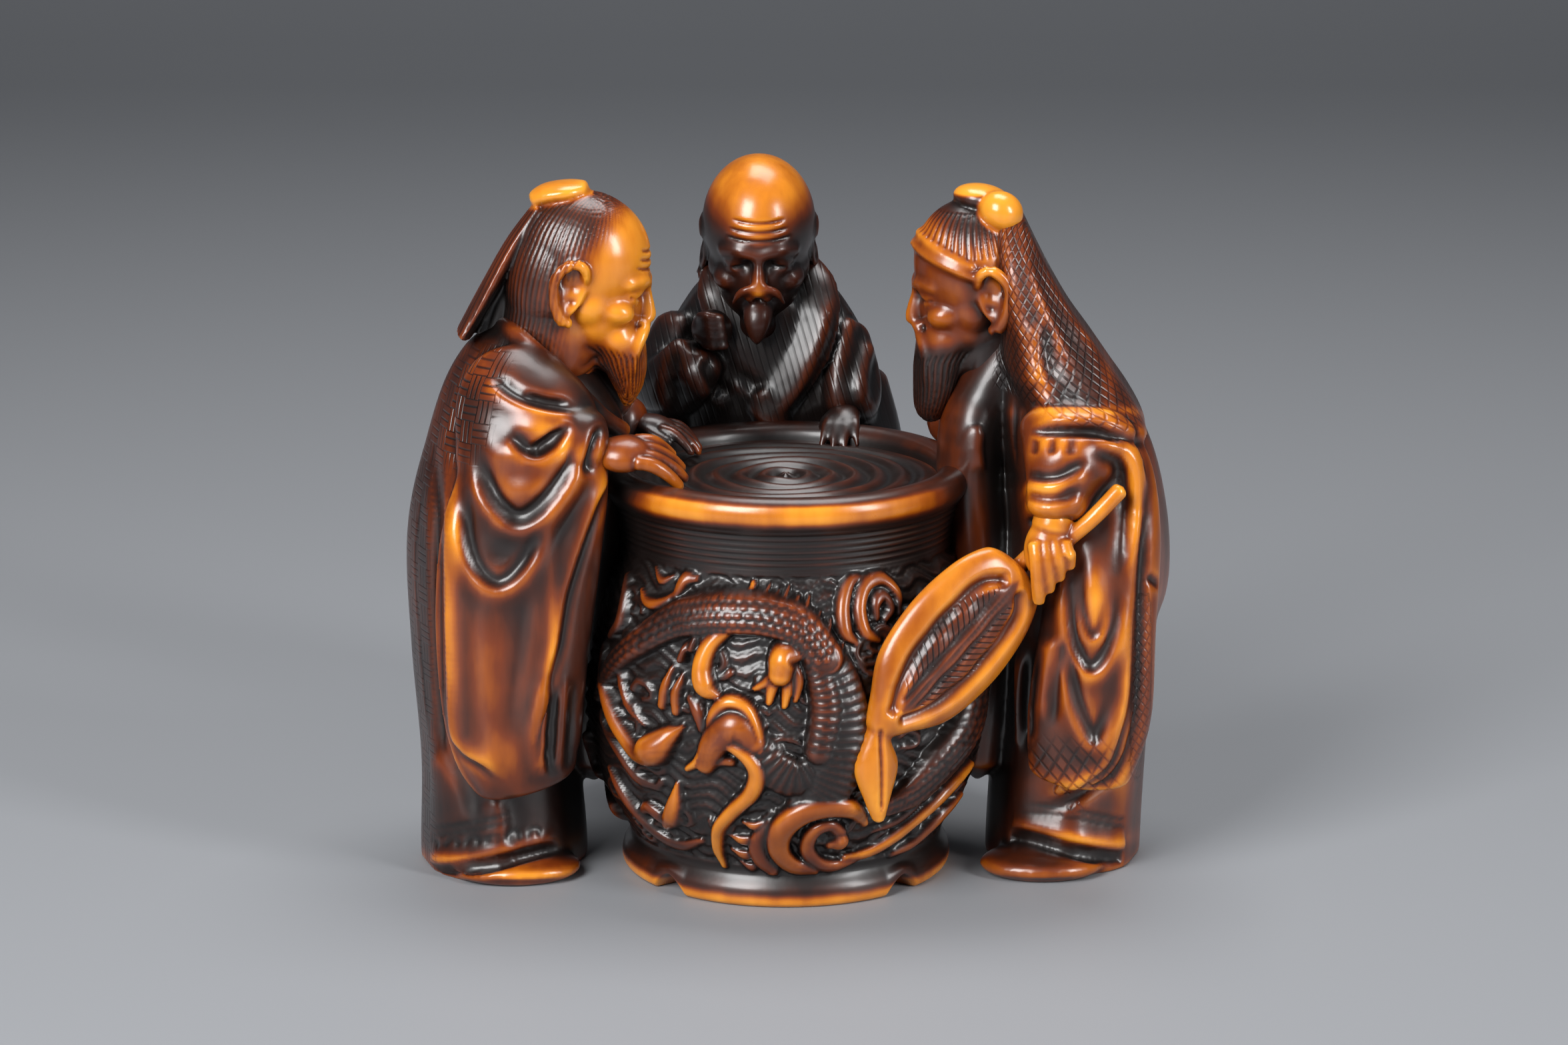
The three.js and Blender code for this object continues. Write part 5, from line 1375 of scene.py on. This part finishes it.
# %% The polisher's choices on the left and right heads
x, y, z = (own(places(left_head), left_place) / HEAD).T
bald = 1 - soft_step(hair_edge, -0.16, 0.08)
beard_part = soft_step(-z, 0.24, 0.36)
left_stain = 0.68 - 0.52 * bald * (1 - beard_part) - 0.5 * cap - 0.2 * beard_part * bald
left_stain -= 0.3 * ear_part(x, y, z) * (1 - bald)
skin = places(right_head)
x, y, z = (own(skin, right_place) / HEAD).T
knob = soft_step(-np.linalg.norm(skin - KNOB, axis=1), -1.5, -1.2)
knob = np.maximum(knob, soft_step(skin[:, 2], 36.6, 36.9))
face_part = soft_step(x, -0.04, 0.1) * (1 - soft_step(-z, 0.24, 0.34)) * (1 - above_band)
band_part = np.exp(-(((band_level - 0.08) / 0.12) ** 2))
right_stain = 0.86 - 0.4 * face_part - 0.75 * knob - 0.55 * ear_part(x, y, z) * (1 - face_part)
right_stain -= (0.5 - 0.33 * face_part) * band_part * (1 - knob)
print("bare crown:", round(100 * float(bald.mean())), "percent of the left head")

# %% The polisher's choices on the rear head and the fan
x, y, z = (own(places(rear_head), rear_place) / REAR_HEAD).T
brow = soft_step(z - 0.5 * np.abs(y), -0.05, 0.3) * soft_step(z, -0.1, 0.2)
nose = np.exp(-((y / 0.06) ** 2 + ((z + 0.12) / 0.09) ** 2)) * (x > 0.3)
rear_stain = 0.84 - 0.6 * brow - 0.45 * nose
fan_x, _, fan_z = own(places(fan), fan_place).T
fan_in = soft_step(-(np.abs(fan_z) - (1.8 - 0.08 * (fan_x - 6) ** 2)), -0.1, 0.3) * (fan_x > 1.5)
fan_stain = 0.26 + 0.3 * fan_in + 0.08 * soft_step(fan_z, -1.5, 1.5)
print("sunken panels:", round(100 * float(fan_in.mean())), "percent of the fan")


# %% Laying the stain
def robe_base(mesh, front, back, base, more):
    """A robe's own stain: it deepens from front to back, and lightens where the back is rubbed."""
    return (base + more * soft_step(places(mesh)[:, 1], front, back)
            - 0.08 * soft_step(normals(mesh)[:, 1], 0, 0.6))


CHOSEN = {
    "jar_with_dragon": jar_stain_and_light,
    "vinegar": np.full(len(vinegar.vertices), 0.88),
    "left_robe": robe_base(left_robe, -2, 2, 0.7, 0.1) + dabs(left_robe, LEFT_DABS, SHEET),
    "left_head": left_stain,
    "left_hands": 0.55 + 0.25 * soft_step(places(left_hands)[:, 1], -2, 2),
    "right_robe": robe_base(right_robe, -1, 3, 0.66, 0.12) + dabs(right_robe, RIGHT_DABS, SHEET),
    "right_head": right_stain,
    "right_hand": np.full(len(right_hand.vertices), 0.28),
    "leaf_fan": fan_stain,
    "rear_robe": 0.93 - 0.2 * soft_step(places(rear_robe)[:, 1] - BEHIND_Y, 0, 3),
    "rear_head": rear_stain,
}
# How much stain a scratch and a fold's hollow hold, and how much darker a shut-in place is made: stain
# that gathers there, and painted shade
IN_SCRATCH, IN_HOLLOW, SHADE_AND_STAIN_IN_SHUT = 0.12, 0.2, 0.45


def lay_stain_and_painted_light(name, mesh):
    """Writes the stain, with its painted shade and painted light, of every vertex as an attribute."""
    # Stain in scratches and fold hollows, then painted shade where other parts shut a place in
    value = (CHOSEN[name] + IN_SCRATCH * hollows(mesh, times=5, depth=0.03)
             + IN_HOLLOW * hollows(mesh, times=40, depth=0.2)
             + SHADE_AND_STAIN_IN_SHUT * soft_step(probed(mesh), 0.08, 0.75))
    laid = mesh.attributes.new("stain_and_painted_light", "FLOAT", "POINT").data
    laid.foreach_set("value", np.clip(value, 0, 1.2).astype(np.float32))
    return value


for name, mesh in SKINS.items():
    print(name, "mean stain", round(float(lay_stain_and_painted_light(name, mesh).mean()), 2))

# %% [markdown]
# The weave of the cloth and the veins of the fan are the last thing a graver adds: hairlines a
# few tenths of a millimetre apart, too fine for the mesh. Each vertex gets two thread counts, how
# deep the lines are there and whether they cross or run basket-wise. The material draws the rest.

# %% Thread counts for the engraved patterns
def engrave(name, u, v, deep, basket=0.0):
    """Writes the thread counts, the depth and the kind of pattern at every vertex."""
    count = len(SKINS[name].vertices)
    rows = np.zeros((count, 3), np.float32)
    rows[:, 0], rows[:, 1], rows[:, 2] = u, v, basket
    attributes = SKINS[name].attributes
    attributes.new("threads", "FLOAT_VECTOR", "POINT").data.foreach_set("vector", rows.ravel())
    attributes.new("engraved", "FLOAT", "POINT").data.foreach_set(
        "value", np.broadcast_to(deep, count).astype(np.float32))


def patch(skin, x, z, half_wide, half_high, nearer_than, lean=0.0):
    """1 on a rounded patch of the upright sheet and 0 round it, for the skin in front of a depth."""
    across, _, up = drawn(skin, SHEET).T
    across = across - x - lean * (up - z)
    gap = (across / half_wide) ** 4 + ((up - z) / half_high) ** 4
    return np.exp(-gap) * (skin[:, 1] < nearer_than)


# A real graver sets hairlines 0.15 to 0.3 mm apart. These pitches in mm are coarser, to show.
HOOD_PITCH, NET_PITCH, WEAVE_PITCH, VEIN_PITCH, CLOTH_PITCH = 0.46, 0.75, 0.36, 0.36, 0.4
# A thread count that never comes near a whole number, so it draws no line
PLAIN = 0.5
print("pitches, mm:", [HOOD_PITCH, NET_PITCH, WEAVE_PITCH, VEIN_PITCH, CLOTH_PITCH])

# %% The hood's hatching, and the net on the right sleeve
skin = places(right_robe)
x, y, z = skin.T
hooded = soft_step(z + 0.2 * (x - 14), 25.9, 26.3) * soft_step(x, 11.0, 11.4)
back_strip = patch(skin, 18.75, 11.5, 0.5, 5, 0)
net = np.maximum(patch(skin, 15.0, 6.7, 2.6, 1.9, -3.5), 0.6 * back_strip)
pitch = np.where((z > 22) | (back_strip > 0.3), HOOD_PITCH, NET_PITCH)
# Round the hood the lines follow the way round its axis, and below it they follow x
round_hood = 4.4 * np.arctan2(y - 0.9, x - 13.2)
side_x = np.where(z > 22, round_hood, x)
engrave("right_robe", (side_x + 0.9 * z) / pitch, (side_x - 0.5 * z) / pitch,
        np.maximum(0.75 * hooded, net))
print("hood:", round(100 * float(hooded.mean())), "percent of the right robe")

# %% Basket weave on the left shoulder, veins of the fan, and lines on the rear robe
skin = places(left_robe)
x, y, z = skin.T
weave = 1.7 * patch(skin, -16.5, 27, 1.35, 2.9, 1, lean=0.3)
across, _, up = drawn(skin, SHEET).T
strip = 0.5 * soft_step(-across, 18.5, 18.8) * soft_step(26 - up, 0, 2)
engrave("left_robe", (x - 0.5 * y) / WEAVE_PITCH, z / WEAVE_PITCH, np.maximum(weave, strip), 1.0)
engrave("leaf_fan", (0.9 * fan_x - 0.7 * np.abs(fan_z)) / VEIN_PITCH, PLAIN,
        1.2 * fan_in * (np.abs(fan_z) > 0.55))
x, y, z = places(rear_robe).T
engrave("rear_robe", (x + 0.3 * z) / CLOTH_PITCH, PLAIN, 0.35 * soft_step(z, 20, 24))
patterned = ["right_robe", "left_robe", "leaf_fan", "rear_robe"]
for name in SKINS:
    if name not in patterned:
        engrave(name, PLAIN, PLAIN, 0.0)
print("patterns on:", patterned)

# %% [markdown]
# The finish is one material. Ivory is dense and slightly clear, takes a wax-like gloss,
# and turns from pale amber through red-brown to almost black as stain builds up. A ramp gives
# those colours, soft streaks along the grain break them up, and a thin coat gives the polish.

# %% Material: how much stain, painted shade and painted light
# Ivory stained dark, then rubbed back and waxed: amber shines through where the stain is thin
ivory = bpy.data.materials.new("stained_polished_ivory")
ivory.use_nodes = True
tree = ivory.node_tree
skin_node = tree.nodes["Principled BSDF"]
# Noise of scale s per metre has spots about 1 / s apart: streaks 1.2 mm wide that run upwards,
# and clouds of stain 5 mm across
STREAK_SCALE, CLOUD_SCALE = 1 / (1.25 * MM), 1 / (5 * MM)
where = add_node(tree, "ShaderNodeTexCoord").outputs["Object"]
upright = add_node(tree, "ShaderNodeMapping", {"Vector": where, "Scale": (1, 1, 0.22)})
grain = add_node(tree, "ShaderNodeTexNoise", {"Vector": upright, "Scale": STREAK_SCALE, "Detail": 4.0})
clouds = add_node(tree, "ShaderNodeTexNoise", {"Vector": where, "Scale": CLOUD_SCALE, "Detail": 3.0})
streaks = add_node(tree, "ShaderNodeMath", {0: grain, 1: 0.30, 2: -0.15}, operation="MULTIPLY_ADD")
patches = add_node(tree, "ShaderNodeMath", {0: clouds, 1: 0.36, 2: -0.18}, operation="MULTIPLY_ADD")
# The attribute holds the stain together with the painted shade of shut-in places and the painted light
# on the jar's lip
laid = add_node(tree, "ShaderNodeAttribute", attribute_name="stain_and_painted_light").outputs["Fac"]
streaked = add_node(tree, "ShaderNodeMath", {0: laid, 1: streaks}, operation="ADD")
amount = add_node(tree, "ShaderNodeMath", {0: streaked, 1: patches}, operation="ADD")
print("streaks and clouds per metre:", round(STREAK_SCALE), round(CLOUD_SCALE))

# %% Material: the engraved lines
# A groove is this share of the pitch on either side of its middle
HALF_GROOVE = 0.19


def hairline(count):
    """A groove, 0 to 1, wherever a thread count is whole."""
    saw = add_node(tree, "ShaderNodeMath", {0: count, 1: 0.5}, operation="PINGPONG")
    return add_node(tree, "ShaderNodeMapRange", {"Value": saw, "From Min": 0.0, "From Max": HALF_GROOVE,
                                                 "To Min": 1.0, "To Max": 0.0})


def square_of(count):
    """The number of the weave's square, three threads wide, that a thread count falls in."""
    shared = add_node(tree, "ShaderNodeMath", {0: count, 1: 3.0}, operation="DIVIDE")
    return add_node(tree, "ShaderNodeMath", {0: shared}, operation="FLOOR")


threads = add_node(tree, "ShaderNodeAttribute", attribute_name="threads").outputs["Vector"]
engraved = add_node(tree, "ShaderNodeAttribute", attribute_name="engraved").outputs["Fac"]
count_u, count_v, basket = add_node(tree, "ShaderNodeSeparateXYZ", {"Vector": threads}).outputs
lines_u, lines_v = hairline(count_u), hairline(count_v)
crossed = add_node(tree, "ShaderNodeMath", {0: lines_u, 1: lines_v}, operation="MAXIMUM")
# In basket weave the lines run one way in every other square, and the other way between them
squares = add_node(tree, "ShaderNodeMath", {0: square_of(count_u), 1: square_of(count_v)},
                   operation="ADD")
parity = add_node(tree, "ShaderNodeMath", {0: squares, 1: 1.0}, operation="PINGPONG")
woven = add_node(tree, "ShaderNodeMix", {"Factor": parity, "A": lines_u, "B": lines_v})
pattern = add_node(tree, "ShaderNodeMix", {"Factor": basket, "A": crossed, "B": woven})
grooves = add_node(tree, "ShaderNodeMath", {0: pattern, 1: engraved}, operation="MULTIPLY")
print("a groove is", 2 * HALF_GROOVE, "of its pitch wide")

# %% Material: colour, gloss and bump
# From bare ivory, through amber and red-brown, to the almost black of full stain; the painted shade and
# the painted light take the same colours
STAIN_AND_SHADE_COLOURS = [(0.0, "#EB9A2C"), (0.16, "#D07C1C"), (0.32, "#A0510B"), (0.48, "#6E2D0A"),
                 (0.64, "#401909"), (0.82, "#200E09"), (1.0, "#100806")]
darker = add_node(tree, "ShaderNodeMath", {0: grooves, 1: 0.22, 2: amount}, operation="MULTIPLY_ADD")
ramp = add_node(tree, "ShaderNodeValToRGB", {"Fac": darker})
while len(ramp.color_ramp.elements) < len(STAIN_AND_SHADE_COLOURS):
    ramp.color_ramp.elements.new(0.5)
for stop, (place, colour) in zip(ramp.color_ramp.elements, STAIN_AND_SHADE_COLOURS):
    stop.position, stop.color = place, ink(colour)
# Bare ivory takes the higher gloss, so roughness rises with the stain
rubbed = add_node(tree, "ShaderNodeMapRange", {"Value": amount, "From Min": 0.0, "From Max": 1.0,
                                               "To Min": 0.24, "To Max": 0.4})
# Polishing scratches 0.4 mm apart, and grooves 0.05 mm deep
SCRATCH_SCALE, GROOVE_DEPTH = 2600.0, 0.05 * MM
fine = add_node(tree, "ShaderNodeTexNoise", {"Vector": where, "Scale": SCRATCH_SCALE, "Detail": 2.0})
scratches = add_node(tree, "ShaderNodeMath", {0: fine, 1: 0.12}, operation="MULTIPLY")
height = add_node(tree, "ShaderNodeMath", {0: grooves, 1: -1.0, 2: scratches}, operation="MULTIPLY_ADD")
bump = add_node(tree, "ShaderNodeBump", {"Height": height, "Strength": 0.9, "Distance": GROOVE_DEPTH})
for socket, node in (("Base Color", ramp), ("Roughness", rubbed), ("Normal", bump)):
    tree.links.new(node.outputs[0], skin_node.inputs[socket])
# Ivory bends light like other horn and bone, and the wax on it is a thin soft coat
for socket, value in (("IOR", 1.54), ("Coat Weight", 0.25), ("Coat Roughness", 0.18)):
    skin_node.inputs[socket].default_value = value
print("stain colours:", len(STAIN_AND_SHADE_COLOURS))


# %% [markdown]
# ## The finished pieces
# The carving is one block, but it was easier to work as eleven skins that run into each other.
# They could be welded once more, at the price of the finest detail, so they stay apart and only
# overlap. Each one is scaled to metres in its mesh, takes the finish, rides on the part's one
# body, and stands for the solid carving.

# %% The finished pieces
def hand_in(mesh, name):
    """Makes a finished skin a piece of the carving."""
    move(mesh, places(mesh) * MM)
    mesh.shade_smooth()
    mesh.name = name
    mesh.materials.append(ivory)
    piece = placed(name, mesh)
    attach(piece, "root")
    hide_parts("netsuke")


triangles = {}
for name, mesh in SKINS.items():
    hand_in(mesh, name)
    mesh.calc_loop_triangles()
    triangles[name] = len(mesh.loop_triangles)
print("triangles:", triangles, "in all:", sum(triangles.values()))
